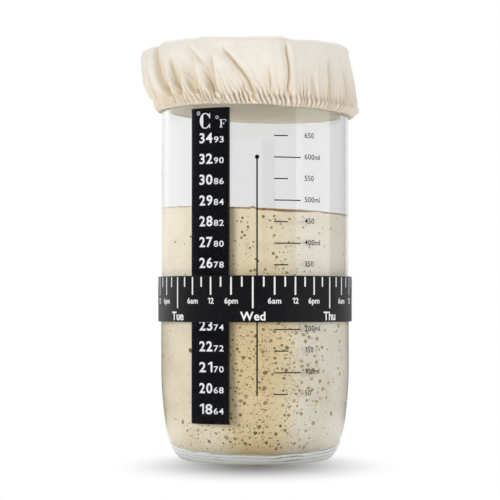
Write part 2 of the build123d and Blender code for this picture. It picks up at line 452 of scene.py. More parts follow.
def clear_glass(sizes):
    """Clear jar glass, which lets the lamps through to what it holds. Its foot is a pale, nearly opaque
    surface: a painted reflection crossed by painted dark refraction lines.
    """
    finish = Finish("clear_glass")
    ripples = finish.grain(9 * MM, detail=1.5, stretch=(1, 1, 0.6))
    normal = finish.bump(ripples, 0.02 * MM, 0.35)
    clear = {"Base Color": (*sizes.glass_tint, 1.0), "Roughness": 0.0, "IOR": 1.5}
    body = finish.node("BsdfPrincipled", {}, {**clear, "Transmission Weight": 1.0, "Normal": normal})
    # Painted reflection: below about 4 mm the glass turns into a pale surface, crossed by swirling painted
    # dark refraction lines
    height = finish.split(finish.place())[2]
    swirl = finish.grain(11 * MM, detail=2.0, stretch=(1, 1, 4))
    outline = finish.facing()
    level = height + (swirl - 0.5) * (2.6 * MM) - outline * outline * (4.2 * MM)
    lines = band_at(level, 4.2 * MM, 0.5 * MM)
    lines = lines + band_at(level, 2.7 * MM, 0.3 * MM) * 0.8 + band_at(level, 1.0 * MM, 0.4 * MM) * 0.6
    broken = 0.3 + 0.7 * finish.grain(13 * MM, detail=1.0, stretch=(1, 1, 0.5)).step(0.42, 0.58)
    painted_foot_colour = finish.blend(lines.held() * broken, sizes.foot_light, sizes.foot_dark)
    painted_foot_inputs = {"Base Color": painted_foot_colour, "Roughness": 0.22, "IOR": 1.5, "Normal": normal}
    foot = finish.node("BsdfPrincipled", {}, painted_foot_inputs)
    body = finish.layered((1 - level.step(3.6 * MM, 4.8 * MM)) * 0.72, body, foot)
    open_way = finish.node("BsdfTransparent", {}, {"Color": (0.98, 0.985, 0.98, 1.0)})
    return finish.surface(finish.layered(finish.ray("Shadow").larger(finish.ray("Diffuse")), body, open_way))


def band_at(value, middle, reach):
    """1 at a value, fading to 0 within a reach on both sides."""
    return 1 - value.sum("ABSOLUTE", value - middle).step(0.3 * reach, reach)


def wet_dough(sizes):
    """Sourdough against the glass: cream on the left, golden in the middle, greyer on the right; the paler
    left and the grey right are painted reflections of the glass.
    """
    finish = Finish("sourdough")
    around, height = round_the_jar(finish)
    patches = finish.grain(16 * MM, detail=4.0, warp=0.6)
    specks = finish.grain(1.4 * MM, detail=3.0)
    # Golden only in the middle: the cream to its left and the grey to its right are painted reflections of
    # the glass
    golden = (around + (patches - 0.5) * 0.016).step(-0.022, -0.008) * (1 - around.step(0.006, 0.024))
    right = around.step(0.004, 0.028) * (1 - around.step(0.06, 0.11))
    low = 1 - height.step(0.055, 0.095)
    shade = finish.blend(right, sizes.cream, sizes.grey)
    shade = finish.blend(golden * (0.35 + 0.65 * low), shade, sizes.golden)
    shade = finish.blend((patches - 0.42) * 1.6 * (1 - specks * 0.4), shade, sizes.shadow)
    shade = finish.blend(finish.value("skin"), shade, sizes.skin)
    mottle = specks.step(0.35, 0.7)
    shade = finish.blend(0.12 * mottle, shade, (0.97, 0.94, 0.86))
    normal = finish.bump(specks * 0.6 + patches * 0.4, 0.12 * MM, 0.5)
    return finish.principled(
        Base_Color=shade,
        Roughness=0.42,
        Specular_IOR_Level=0.22,
        Subsurface_Weight=0.12,
        Subsurface_Radius=(0.004, 0.0025, 0.0015),
        Subsurface_Scale=1.0,
        Normal=normal,
    )


def gas_bubble():
    """Bubbles of gas against the glass, darker at their rims with painted shade of their hollows."""
    finish = Finish("gas_bubbles")
    return finish.principled(Base_Color=finish.shade("tint"), Roughness=0.5, Specular_IOR_Level=0.08)


def enamel(name, shade, worn):
    """Fired print, a little uneven and worn through in specks."""
    finish = Finish(name)
    specks = finish.grain(0.35 * MM, detail=2.0)
    shade = finish.blend(specks.step(0.62, 0.74) * worn, shade, mix(shade, (0.6, 0.58, 0.5), 0.6))
    return finish.principled(
        Base_Color=shade,
        Roughness=0.4 + 0.1 * specks,
        Specular_IOR_Level=0.3,
        Normal=finish.bump(specks, 0.01 * MM, 0.4),
    )


def strip_film(name, alpha, gloss):
    """Clear film over or under the thermometer, seen by its gloss."""
    finish = Finish(name)
    dust = finish.grain(5 * MM, detail=5.0, rough=0.65)
    return finish.principled(
        Base_Color=(0.012, 0.012, 0.014),
        Roughness=gloss + 0.12 * dust.step(0.45, 0.8),
        Alpha=alpha,
        Normal=finish.bump(dust, 0.02 * MM, 0.3),
    )


def black_sheet(name, shade, rough):
    """Black polyester sheet with the finest orange peel."""
    finish = Finish(name)
    peel = finish.grain(0.9 * MM, detail=2.0)
    shade = finish.blend(peel.step(0.3, 0.8) * 0.3, shade, tuple(part * 1.6 for part in shade))
    return finish.principled(
        Base_Color=shade,
        Roughness=rough + 0.06 * peel,
        Specular_IOR_Level=0.2,
        Normal=finish.bump(peel, 0.01 * MM, 0.3),
    )


def crystal_cells(sizes):
    """Liquid-crystal ink, which turns green and blue at the jar's own warmth."""
    finish = Finish("strip_cells")
    height = finish.split(finish.place())[2]
    lit = 1 - height.sum("ABSOLUTE", height - sizes.lit_height).step(3 * MM, 8.5 * MM)
    sheen = finish.grain(3 * MM, detail=3.0)
    shade = finish.blend(lit * (0.75 + 0.5 * (sheen - 0.5)), sizes.idle_cell, sizes.lit_cell)
    return finish.principled(Base_Color=shade, Roughness=0.3, Specular_IOR_Level=0.2)


def silicone(sizes):
    """Charcoal silicone, matt, with dust in its ribs and a painted sheen towards its outline."""
    finish = Finish("band_silicone")
    dust = finish.grain(2.5 * MM, detail=5.0, rough=0.7)
    fine = finish.grain(0.25 * MM, detail=2.0)
    shade = finish.blend(dust.step(0.5, 0.85) * 0.08, sizes.charcoal, sizes.dust)
    shade = finish.blend(fine.step(0.55, 0.8) * 0.07, shade, sizes.dust)
    # Painted sheen: towards its outline the band turns to the pale dust colour
    shade = finish.blend(finish.facing().step(0.25, 0.95) * 0.6, shade, sizes.dust)
    return finish.principled(
        Base_Color=shade,
        Roughness=0.5 + 0.12 * dust,
        Specular_IOR_Level=0.22,
        Normal=finish.bump(fine, 0.02 * MM, 0.5),
    )


def cotton(sizes, name="cotton", weave=True):
    """Natural cotton in a plain weave, with painted shade in its folds, pleats and weave and towards its hem,
    and painted light on the hem's inner side.
    """
    finish = Finish(name)
    if weave:
        warp = finish.value("warp") / sizes.thread_pitch
        weft = finish.value("weft") / sizes.thread_pitch
        over = (warp * pi).sine() * (weft * pi).sine()
        threads = 0.5 + 0.25 * (warp * 2 * pi).sine() + 0.25 * (weft * 2 * pi).sine() * over.step(-0.4, 0.4)
    else:
        threads = finish.grain(0.15 * MM, detail=2.0, stretch=(1, 1, 3))
    slubs = finish.grain(1.1 * MM, detail=4.0, rough=0.6)
    stains = finish.grain(18 * MM, detail=3.0)
    height = finish.split(finish.place())[2]
    # Painted shade: the cloth darkens towards the hem, away from the light above, with random stains mixed in
    low = 1 - height.step(0.147, 0.170)
    shade = finish.blend(low * 0.75 + (stains - 0.5) * 0.3, sizes.cloth_light, sizes.cloth_low)
    if weave:
        # The fold value carries painted shade in the creases and pleats
        folds = finish.value("fold")
        shade = finish.blend(folds.held() * 0.8, shade, sizes.cloth_fold)
        # Painted light: the casing inside the hem, which little light reaches, is drawn paler
        shade = finish.blend((0 - folds).held(), shade, sizes.cloth_inside)
    # Slubs darken the yarn; the weave gets a little painted shade between its threads
    shade = finish.blend(0.10 * slubs.step(0.4, 0.75), shade, sizes.cloth_fold)
    shade = finish.blend(0.07 * (1 - threads), shade, sizes.cloth_fold)
    normal = finish.bump(threads * 0.7 + slubs * 0.6, 0.05 * MM, 0.45)
    return finish.principled(
        Base_Color=shade,
        Roughness=0.86,
        Specular_IOR_Level=0.2,
        Sheen_Weight=0.15,
        Sheen_Roughness=0.5,
        Normal=normal,
    )


# The jar


def mm(points):
    """Points given in millimetres, in metres."""
    return [(first * MM, second * MM) for first, second in points]


def belly(side, heel, steps):
    """The wall's slow bend from the belly down to the heel, in millimetres, the belly left out."""
    drop, inset = BELLY - heel[1], side - heel[0]
    arc = (drop * drop + inset * inset) / (2 * inset)
    turns = [asin(drop / arc) * step / steps for step in range(1, steps + 1)]
    return [(side - arc + arc * cos(turn), BELLY - arc * sin(turn)) for turn in turns]


def hollow(out, steps=10):
    """The jar's hollow from its belly down to the middle of its floor, in millimetres."""
    side, floor_height, heel = 37.0 + out, 4.6 - out, (35.3 + out, HEEL[1])
    corner, floor_edge = (33.6 + out, floor_height), (21.6, floor_height)
    points = belly(side, heel, steps) + bezier((heel, corner, floor_edge), 14)
    return points + line(floor_edge, (0.0, floor_height), 5)


def jar_profile(sizes):
    """The section of the glass from the middle of its foot, up its outside, and down its inside."""
    lip = sizes.lip_rounding / MM
    side, inside, neck, mouth = 40.0, 37.0, 36.8, 34.0
    points = [(0.0, 1.5)] + line((0.0, 1.5), (26.0, 0.05), 6)
    points += bezier(((26.0, 0.05), (26.9, 0.0), (27.8, 0.0)), 3) + line((27.8, 0.0), (29.5, 0.0), 2)
    points += bezier(((29.5, 0.0), (35.93, 0.0), HEEL), 22)
    points += belly(side, HEEL, 12)[-2::-1] + [(side, BELLY)]
    points += line((side, BELLY), (side, SHOULDER), 40)
    points += bezier(((side, SHOULDER), (side, 158.2), (neck, 156.6), (neck, NECK)), 12)
    points += [(neck + 0.9 * sin(pi * step / 10) ** 0.8, NECK + 0.3 * step) for step in range(1, 11)]
    points += line(points[-1], (neck, RIM - lip), 38)
    points += bezier(((neck, RIM - lip), (neck, RIM), (neck - lip, RIM)), 5)
    points += line((neck - lip, RIM), (mouth + lip, RIM), 2)
    points += bezier(((mouth + lip, RIM), (mouth, RIM), (mouth, RIM - lip)), 5)
    points += line((mouth, RIM - lip), (mouth, NECK), 6)
    points += bezier(((mouth, NECK), (mouth, 156.8), (inside, 158.2), (inside, SHOULDER)), 10)
    return mm(points + line((inside, SHOULDER), (inside, BELLY), 30) + hollow(0.0))


def build_glass(sizes):
    """The moulded jar, with its screw thread, mould seams and slightly wavy inside."""
    profile = jar_profile(sizes)
    seams = [side + step for side in (-90, 90) for step in (-0.6, -0.4, -0.2, 0.2, 0.4, 0.6)]
    turning = max(range(len(profile)), key=lambda k: profile[k][1])

    def shape(row, angle, radius, height):
        outside = row <= turning
        if outside and 163.6 * MM < height < 172.4 * MM:
            turns = (angle + 180) / 360
            crest, second = (exp(-4.0 * (height / MM - start - 3.2 * turns) ** 2) for start in (165.2, 168.4))
            ends = smooth(turns, 0, 0.06) if height < 166.8 * MM else 1
            last = 1 - smooth(turns, 0.55, 0.62)
            radius += sizes.thread_depth * 0.95 * min(crest * ends + second * last, 1)
        if outside and 2 * MM < height < 172 * MM:
            away = abs(abs(angle) - 90)
            radius += 0.06 * MM * exp(-((away / 0.28) ** 2)) * (height > 155 * MM)
        if not outside and 6 * MM < height < 152 * MM:
            place = Vector(on_wall(radius, angle, height)) / 0.024
            radius += 0.07 * MM * noise.noise(place) - 0.03 * MM
        return radius, height

    glass = clear_glass(sizes)
    points, faces = lathe(profile, round_angles(288, seams), shape)
    add_piece("jar_glass", points, faces, [glass], "jar", "clear_glass", ["glass_jar"], 50)


def starter_top(angle, radius):
    """The height of the starter's surface, which leans, domes a little and holds bubbles."""
    across, deep = radius * sin(angle * DEGREE), -radius * cos(angle * DEGREE)
    height = 105.4 * MM - across * tan(radians(2.4))
    place = Vector((across, deep, 0))
    height += 0.22 * MM * noise.fractal(place / 0.012, 1.0, 2.0, 3)
    height += 0.5 * MM * (1 - (radius / (37 * MM)) ** 2)
    for x, y, size in TOP_BUBBLES:
        away = hypot(across - x, deep - y) / size
        if away < 1:
            height += size * 0.55 * sqrt(1 - away * away)
    return height


def skin_share(angle, height, top):
    """How brown the starter is where its surface has dried along the glass."""
    below = (top - height) / MM
    deep = 0.65 + 0.85 * exp(-(((angle - 18) / 16) ** 2)) + 0.4 * noise.noise(Vector((angle / 9, 0, 3)))
    front = smooth(angle, -22, -12)
    return smooth(1 - below / deep, 0.0, 0.35) * mix(0.3, 1.0, front)


def build_starter(sizes):
    """The dough, wet against the glass, with its uneven upper surface."""
    highest, climb = 102.0 * MM, 8  # where the even wall ends, and the rows from there to the edge
    profile = mm(hollow(0.1, 8)[::-1]) + [(DOUGH_RADIUS, BELLY * MM)]
    profile += [(DOUGH_RADIUS, (BELLY + 0.9 * step) * MM) for step in range(1, 68)]
    profile = [point for point in profile if point[1] <= highest]
    marked = len(profile)
    reaches = (37.1, 36.7, 36.2, 35.4, 34.2, 32.6, 30.6, 28, 25, 21.5, 17.5, 13, 8, 4)
    profile += [(DOUGH_RADIUS, highest)] * climb + [(reach * MM, highest) for reach in reaches]
    profile.append((0.0, 105.9 * MM))
    skins = []

    def shape(row, angle, radius, height):
        edge = starter_top(angle, radius)
        if row < marked:
            skins.append(skin_share(angle, height, starter_top(angle, DOUGH_RADIUS)))
            return radius, height
        climbed = row - marked
        if climbed < climb:
            level = mix(edge, highest, 1 - climbed / climb)
            skins.append(skin_share(angle, level, edge))
            return radius, level
        skins.append(0.55 * smooth(radius, 20 * MM, 37 * MM))
        return radius, edge

    points, faces = lathe(profile, round_angles(360), shape)
    piece = add_piece("starter_dough", points, faces, [wet_dough(sizes)], "jar", "sourdough", ["starter"], 0)
    add_values(piece, "skin", [0.0] + skins + [0.2])


TOP_BUBBLES = []


def scatter_top_bubbles():
    """Domed bubbles on the starter's upper surface, one of them against the glass in front."""
    draw = random.Random(11)
    TOP_BUBBLES.clear()
    TOP_BUBBLES.append((-0.0009, -0.0366, 0.0011))
    TOP_BUBBLES.append((-0.0305, -0.0205, 0.0008))
    for _ in range(40):
        angle, reach = draw.uniform(-pi, pi), 0.034 * sqrt(draw.random())
        across, deep = reach * sin(angle), -reach * cos(angle)
        if deep > -0.022:
            TOP_BUBBLES.append((across, deep, draw.choice((0.0007, 0.001, 0.0014, 0.002))))


def bubble_density(angle, height):
    """How many bubbles lie at a place of the wall, from 0 to 1."""
    level = height / MM
    crowd = 0.35 + 1.3 * smooth(noise.noise(Vector((angle / 9, level / 9, 5))), -0.25, 0.3)
    if -16 < angle < 70:
        lower = along(((8, 0.35), (16, 0.8), (34, 1.0), (56, 0.8), (78, 0.25), (86, 0.3), (98, 0.3)), level)
        across = ((-16, 0.6), (-8, 1.0), (28, 0.95), (38, 0.4), (50, 0.15), (70, 0.05))
        return crowd * lower * along(across, angle)
    if -16 >= angle > -100:
        return 0.5 if level < 19 and angle > -52 else 0.03
    if 70 <= angle < 110:
        return 0.05
    return crowd * along(((8, 0.2), (30, 0.35), (60, 0.25), (98, 0.12)), level)


def build_bubbles(sizes):
    """Flattened bubbles between the dough and the glass, few and larger or many and small."""
    draw = random.Random(20)
    points, faces, tints, taken = [], [], [], {}
    for _ in range(sizes.bubble_tries):
        angle, height = draw.uniform(-180, 180), draw.uniform(7, 102) * MM
        if draw.random() > bubble_density(angle, height):
            continue
        size = (0.20 + 0.85 * draw.random() ** 3.0) * MM
        size *= 1 - 0.35 * smooth(height, 72 * MM, 84 * MM)
        place = Vector((angle * DEGREE * 37.0, height / MM))
        cell = (int(place.x // 3), int(place.y // 3))
        beside = [(cell[0] + x, cell[1] + z) for x in (-1, 0, 1) for z in (-1, 0, 1)]
        near = [found for one in beside for found in taken.get(one, ())]
        if any((place - other).length < size / MM + reach + 0.1 for other, reach in near):
            continue
        taken.setdefault(cell, []).append((place, size / MM))
        add_bubble(draw, points, faces, tints, angle, height, size)
    piece = add_piece("starter_bubbles", points, faces, [gas_bubble()], "jar", "sourdough", (), 0)
    add_colours(piece, "tint", tints)


def wall_table():
    """The radius of the dough's wall by height, in millimetres."""
    places = [(37.1, 200.0), (37.1, BELLY)] + hollow(0.1, 8)
    return sorted((height, radius) for radius, height in places if height > 4.7)


WALL = wall_table()


def wall_radius(height):
    """The radius of the dough's wall at a height."""
    return DOUGH_RADIUS if height > BELLY * MM else straight(WALL, height / MM) * MM


def add_bubble(draw, points, faces, tints, angle, height, size):
    """One bubble: a low dome with a rolled dark rim of painted shade, lying on the dough's wall."""
    start, sides = len(points), 14
    squash, lean = draw.uniform(0.75, 1.0), draw.uniform(-0.4, 0.4)
    # The dark brown of a bubble is painted shade of its hollow; on the right it turns greyer with the painted
    # reflection there
    grey = smooth(angle, 14, 34)
    strength = draw.uniform(0.5, 1.0) * mix(1.0, 0.7, grey)
    brown = mix(linear(104, 74, 30), linear(112, 94, 62), grey)
    rim = mix(linear(222, 205, 165), brown, strength)
    middle = mix(rim, linear(206, 180, 128), draw.uniform(0.0, 0.35) if size > 0.4 * MM else 0.0)
    rings = ((1.0, -0.02, 0.25), (0.86, 0.07, 1.0), (0.62, 0.12, 0.9), (0.3, 0.10, 0.0))
    for reach, rise, share in rings:
        for side in range(sides):
            turn = 2 * pi * side / sides
            out = reach * (1 + 0.10 * sin(3 * turn + lean * 9) + 0.09 * sin(2 * turn - lean * 17))
            x, z = cos(turn) * out * size, sin(turn) * out * size * squash
            x, z = x * cos(lean) - z * sin(lean), x * sin(lean) + z * cos(lean)
            radius = wall_radius(height + z) + (rise * size + 0.012 * MM)
            points.append(on_wall(radius, angle + x / DOUGH_RADIUS / DEGREE, height + z))
            tints.append(mix(linear(226, 212, 178) if reach > 0.9 else middle, rim, share))
    points.append(on_wall(wall_radius(height) + 0.10 * size, angle, height))
    tints.append(middle)
    for ring in range(len(rings) - 1):
        faces += between(start + ring * sides, start + (ring + 1) * sides, sides)
    faces += fan(start + (len(rings) - 1) * sides, start + len(rings) * sides, sides)


# Print and lettering


def letter_shape(letter, weight):
    """One flat letter, one metre for the height of a capital, with its left side at zero."""
    if letter == "1":
        wide = 0.11 + 2.6 * weight
        outline = [(0.30, 0), (0.30 + wide, 0), (0.30 + wide, 1), (0.32, 1), (0.06, 0.84)]
        outline += [(0.06, 0.84 - wide * 0.9), (0.30, 1 - wide * 1.15)]
        return outline, [[0, 1, 2, 3, 6], [3, 4, 5, 6]]
    curve = bpy.data.curves.new("words", "FONT")
    curve.body, curve.offset, curve.resolution_u = letter, weight, 3
    holder = bpy.data.objects.new("words", curve)
    bpy.context.scene.collection.objects.link(holder)
    flat = bpy.data.meshes.new_from_object(holder)
    points = [(point.co.x, point.co.y) for point in flat.vertices]
    faces = [list(face.vertices) for face in flat.polygons]
    bpy.data.objects.remove(holder)
    bpy.data.curves.remove(curve)
    bpy.data.meshes.remove(flat)
    left, capital = min(x for x, _ in points), 0.729
    return [((x - left) / capital, y / capital) for x, y in points], faces


def lettering(words, weight=0.0, space=0.13):
    """Flat words from their lower left corner, one metre for the height of a capital."""
    points, faces, start = [], [], 0.0
    for letter in words:
        more_points, more_faces = letter_shape(letter, weight)
        first = len(points)
        points += [(x + start, y) for x, y in more_points]
        faces += [[corner + first for corner in face] for face in more_faces]
        start = max(x for x, _ in points) + space
    return points, faces


def printed(flat, angle, height, inner, outer, size, width=None, middle=False):
    """Flat words as thin print round the jar, their left end or middle at an angle in degrees."""
    points, faces = flat
    span = max(x for x, _ in points)
    stretch = width / span if width else size
    span *= stretch
    shape = bmesh.new()
    corners = [shape.verts.new((x * stretch, y * size, 0)) for x, y in points]
    for face in faces:
        try:
            shape.faces.new([corners[corner] for corner in face])
        except ValueError:
            pass
    bmesh.ops.remove_doubles(shape, verts=shape.verts, dist=1e-7)
    for cut in range(1, ceil(span / (0.8 * MM))):
        whole = shape.verts[:] + shape.edges[:] + shape.faces[:]
        bmesh.ops.bisect_plane(shape, geom=whole, plane_co=(cut * 0.8 * MM, 0, 0), plane_no=(1, 0, 0))
    shape.verts.index_update()
    start = angle * DEGREE - (span / 2 / outer if middle else 0)
    places = [(start + v.co.x / outer, height + v.co.y) for v in shape.verts]
    count = len(places)
    made = [on_wall(radius, turn / DEGREE, level) for radius in (outer, inner) for turn, level in places]
    sides = [[v.index for v in face.verts] for face in shape.faces]
    rim = [[v.index for v in edge.verts] for edge in shape.edges if len(edge.link_faces) == 1]
    shape.free()
    back = [[corner + count for corner in reversed(face)] for face in sides]
    return made, sides + back + [[a, b, b + count, a + count] for a, b in rim]


def ring_print(angle, height, reach, stroke, inner, outer):
    """A small printed ring, as in a degree sign."""
    sides, share = 20, 1 - stroke / reach
    flat = circle(reach, sides)
    flat += [(x * share, y * share) for x, y in flat]
    flat = [(x + reach, y) for x, y in flat]
    return printed((flat, between(0, sides, sides)), angle, height, inner, outer, 1.0, middle=True)


def serif_letter(letter):
    """A bold capital C or F with serifs, one metre high, from its lower left corner."""
    points, faces = [], []
    if letter == "F":
        blocks = ((0.0, 0.0, 0.46, 0.06), (0.14, 0.0, 0.31, 1.0), (0.0, 0.94, 0.86, 1.0))
        blocks += ((0.3, 0.48, 0.60, 0.54), (0.55, 0.36, 0.60, 0.66), (0.80, 0.70, 0.86, 0.97))
        for left, low, right, high in blocks:
            start = len(points)
            points += [(left, low), (right, low), (right, high), (left, high)]
            faces.append([start, start + 1, start + 2, start + 3])
        return points, faces
    steps = 26
    for step in range(steps + 1):
        turn = radians(38 + 284 * step / steps)
        stroke = 0.07 + 0.20 * max(0.0, -cos(turn)) ** 1.4 + 0.03 * (step < 4)
        outer_x, outer_y = 0.40 + 0.40 * cos(turn), 0.5 + 0.52 * sin(turn)
        inner_x = 0.40 + (0.40 - stroke) * cos(turn)
        inner_y = 0.5 + (0.52 - 0.06 - 0.02 * abs(cos(turn))) * sin(turn)
        points += [(outer_x, outer_y), (inner_x, inner_y)]
        if step:
            base = 2 * step
            faces.append([base - 2, base, base + 1, base - 1])
    start = len(points)
    points += [(0.68, 0.66), (0.75, 0.66), (0.75, 1.0), (0.70, 1.0)]
    points += [(0.70, 0.0), (0.75, 0.0), (0.75, 0.30), (0.69, 0.30)]
    faces += [[start + k for k in range(4)], [start + 4 + k for k in range(4)]]
    return points, faces


def build_strip(sizes):
    """The thermometer: adhesive, black backing, cells and clear film, with rounded corners."""
    middle, width = -27.7, 18.0 * MM
    glue, film = strip_film("strip_glue", 0.3, 0.35), strip_film("strip_film", 0.14, 0.16)
    back, cells = black_sheet("strip_back", sizes.black, 0.3), crystal_cells(sizes)
    layers = (
        ("strip_glue", "thermometer_adhesive", 40.01, 40.06, 0.1 * MM, glue, "strip_adhesive"),
        ("strip_back", "thermometer_strip", 40.07, 40.17, 0.0, back, "strip_backing"),
        ("strip_face", "thermometer_film", 40.24, 40.30, 0.0, film, "strip_film"),
    )
    for name, node, inner, outer, short, finish, slot in layers:
        ends = (STRIP_LOW + short, STRIP_HIGH - short)
        points, faces = curved_plate(middle, width, *ends, inner * MM, outer * MM, sizes.corner)
        add_piece(name, points, faces, [finish], "jar", slot, [node], 30)
    half, inner, outer = 3.3 * MM, 40.18 * MM, 40.23 * MM
    heights = [STRIP_LOW + (CELL_RISE + CELL_PITCH * row) * MM for row in range(14)]
    rows = [curved_plate(middle, 14 * MM, z - half, z + half, inner, outer, 0.8 * MM) for z in heights]
    add_piece("strip_cells", *joined(rows), [cells], "jar", "strip_cells", ["thermometer_cells"], 30)
    build_strip_print(sizes, middle, width)


def build_strip_print(sizes, middle, width):
    """Readings in degrees Celsius and Fahrenheit, with a thin light line down each edge."""
    inner, outer = 40.305 * MM, 40.325 * MM
    readings = ((18, 64), (20, 68), (21, 70), (22, 72), (23, 74), (24, 75), (25, 77))
    readings += ((26, 78), (27, 80), (28, 82), (29, 84), (30, 86), (32, 90), (34, 93))
    parts = []
    for row, (celsius, fahrenheit) in enumerate(readings):
        base = STRIP_LOW + (CELL_RISE + CELL_PITCH * row - 2.1) * MM
        big, small = lettering(str(celsius), 0.022), lettering(str(fahrenheit), 0.012)
        parts.append(printed(big, -34.5, base, inner, outer, 4.2 * MM, 6.3 * MM))
        parts.append(printed(small, -24.7, base, inner, outer, 2.55 * MM, 4.4 * MM))
    parts.append(printed(serif_letter("C"), -34.3, 138.1 * MM, inner, outer, 6.2 * MM, 5.0 * MM))
    parts.append(printed(serif_letter("F"), -21.2, 138.2 * MM, inner, outer, 3.3 * MM, 2.9 * MM))
    parts.append(ring_print(-35.2, 144.4 * MM, 0.8 * MM, 0.28 * MM, inner, outer))
    parts.append(ring_print(-22.7, 142.4 * MM, 0.66 * MM, 0.2 * MM, inner, outer))
    points, faces = joined(parts)
    ink = enamel("strip_ink", sizes.figures, 0.35)
    add_piece("strip_readings", points, faces, [ink], "jar", "band_print", (), 30, False)
    half = width / 2 / JAR_RADIUS / DEGREE
    low, high = STRIP_LOW + MM, STRIP_HIGH - MM
    places = [middle + side * (half - 0.42) for side in (-1, 1)]
    edges = [curved_plate(place, 0.16 * MM, low, high, inner, outer, 0, 1) for place in places]
    edge_ink = enamel("strip_edge", sizes.edge_line, 0.5)
    add_piece("strip_edge_lines", *joined(edges), [edge_ink], "jar", "strip_film", (), 30, False)


def build_scale(sizes):
    """The volume scale: its ticks get fired enamel, and the level line and the numbers are added."""
    ink = enamel("scale_enamel", sizes.ink, 0.25)
    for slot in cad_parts["volume_ticks"].material_slots:
        slot.material = ink
    angle, dot, reach, inner, outer = 1.2, 126.0 * MM, sizes.dot_radius, 40.03 * MM, 40.08 * MM
    disc = [(reach + x, y) for x, y in circle(reach, 32)]
    level = [curved_plate(angle, sizes.line_width, 28.6 * MM, dot - 0.5 * reach, inner, outer, 0, 3)]
    level.append(printed((disc, [list(range(32))]), angle, dot, inner, outer, 1.0, middle=True))
    black = enamel("level_enamel", sizes.ink, 0.08)
    add_piece("level_print", *joined(level), [black], "jar", "scale_enamel", ["level_line"], 30, False)
    parts = []
    for step in range(13):
        volume = 50 * (step + 1)
        words = lettering(f"{volume}ml" if volume % 100 == 0 else str(volume), 0.006)
        base = (TICK_LOW + TICK_PITCH * step - 0.65) * MM
        parts.append(printed(words, 30.6, base, inner, 40.07 * MM, sizes.number_height))
    points, faces = joined(parts)
    add_piece("volume_numbers", points, faces, [ink], "jar", "scale_enamel", (), 30, False)


# The feeding band


def build_band(sizes):
    """The silicone ring, finely ribbed outside and smooth inside."""
    inner, outer, edge = 40.45 * MM, BAND_RADIUS, 0.25 * MM
    rib, depth = sizes.rib_pitch, sizes.rib_depth
    profile = [(inner + edge, BAND_LOW), (outer - edge, BAND_LOW)]
    profile += bezier(((outer - edge, BAND_LOW), (outer, BAND_LOW), (outer, BAND_LOW + edge)), 3)
    ribs = int((BAND_HIGH - BAND_LOW - 2 * edge) / rib)
    for step in range(1, 4 * ribs + 1):
        height = BAND_LOW + edge + (BAND_HIGH - BAND_LOW - 2 * edge) * step / (4 * ribs)
        profile.append((outer - depth * (0.5 - 0.5 * cos(2 * pi * step / 4)), height))
    profile += bezier(((outer, BAND_HIGH - edge), (outer, BAND_HIGH), (outer - edge, BAND_HIGH)), 3)
    profile += line((outer - edge, BAND_HIGH), (inner + edge, BAND_HIGH), 1)
    profile += bezier(((inner + edge, BAND_HIGH), (inner, BAND_HIGH), (inner, BAND_HIGH - edge)), 2)
    profile += line((inner, BAND_HIGH - edge), (inner, BAND_LOW + edge), 3)
    profile += bezier(((inner, BAND_LOW + edge), (inner, BAND_LOW), (inner + edge, BAND_LOW)), 2)[:-1]

    def shape(row, angle, radius, height):
        wave = noise.noise(Vector(on_wall(1.0, angle, height * 30)) * 3)
        return radius, height + 0.05 * MM * wave * (radius > inner + edge)

    count = 240
    points, faces = lathe(profile, round_angles(count), shape)
    faces += between(len(points) - count, 0, count)
    add_piece("band_ring", points, faces, [silicone(sizes)], "band", "band_silicone", ["feeding_band"], 55)


def build_band_print(sizes):
    """The week on the band: a line for each day, shorter ones for its hours, and their names."""
    inner, outer = PRINT_RADIUS, PRINT_RADIUS + 0.06 * MM
    names, marks = ("Mon", "Tue", "Wed", "Thu", "Fri", "Sat", "Sun"), 8
    top, first, day = BAND_HIGH - 0.4 * MM, -100.25, 346.5 / len(names)
    parts = []
    for mark in range(len(names) * marks + 1):
        tall = 13.0 if mark % marks == 0 else (7.5 if mark % 2 == 0 else 4.2)
        angle = first + mark * day / marks
        parts.append(curved_plate(angle, 0.7 * MM, top - tall * MM, top, inner, outer, 0.34 * MM, 2))
    hours = [(mark, lettering(words, 0.02, 0.08)) for mark, words in ((2, "6am"), (4, "12"), (6, "6pm"))]
    for step, name in enumerate(names):
        angle, words = first + step * day, lettering(name, 0.024, 0.05)
        parts.append(printed(words, angle, 59.4 * MM, inner, outer, sizes.day_height, middle=True))
        for mark, words in hours:
            place = angle + mark * day / marks
            parts.append(printed(words, place, 66.2 * MM, inner, outer, sizes.hour_height, middle=True))
    points, faces = joined(parts)
    ink = enamel("band_print", sizes.white, 0.25)
    add_piece("band_week", points, faces, [ink], "band_scale", "band_print", ["band_ticks"], 30, False)


# The cotton cover

# Half-widths of the cover in millimetres at its left, its right and its front, by height
LEFT_SIDE = ((147.3, 41.6), (149.0, 41.9), (151.2, 42.2), (153.3, 43.2), (155.5, 45.4))
LEFT_SIDE += ((159.7, 47.1), (164.0, 47.9), (168.3, 48.4), (170.4, 48.4), (174.7, 47.7))
RIGHT_SIDE = ((145.8, 41.6), (148.4, 44.0), (150.8, 43.6), (153.3, 43.4), (158.0, 42.6))
RIGHT_SIDE += ((162.5, 41.8), (167.0, 41.2), (170.9, 40.6), (176.0, 40.0))
FRONT_SIDE = ((146.5, 42.6), (149.0, 43.3), (151.2, 43.0), (154.0, 43.8))
FRONT_SIDE += ((160.0, 44.8), (168.0, 45.0), (175.0, 44.6))

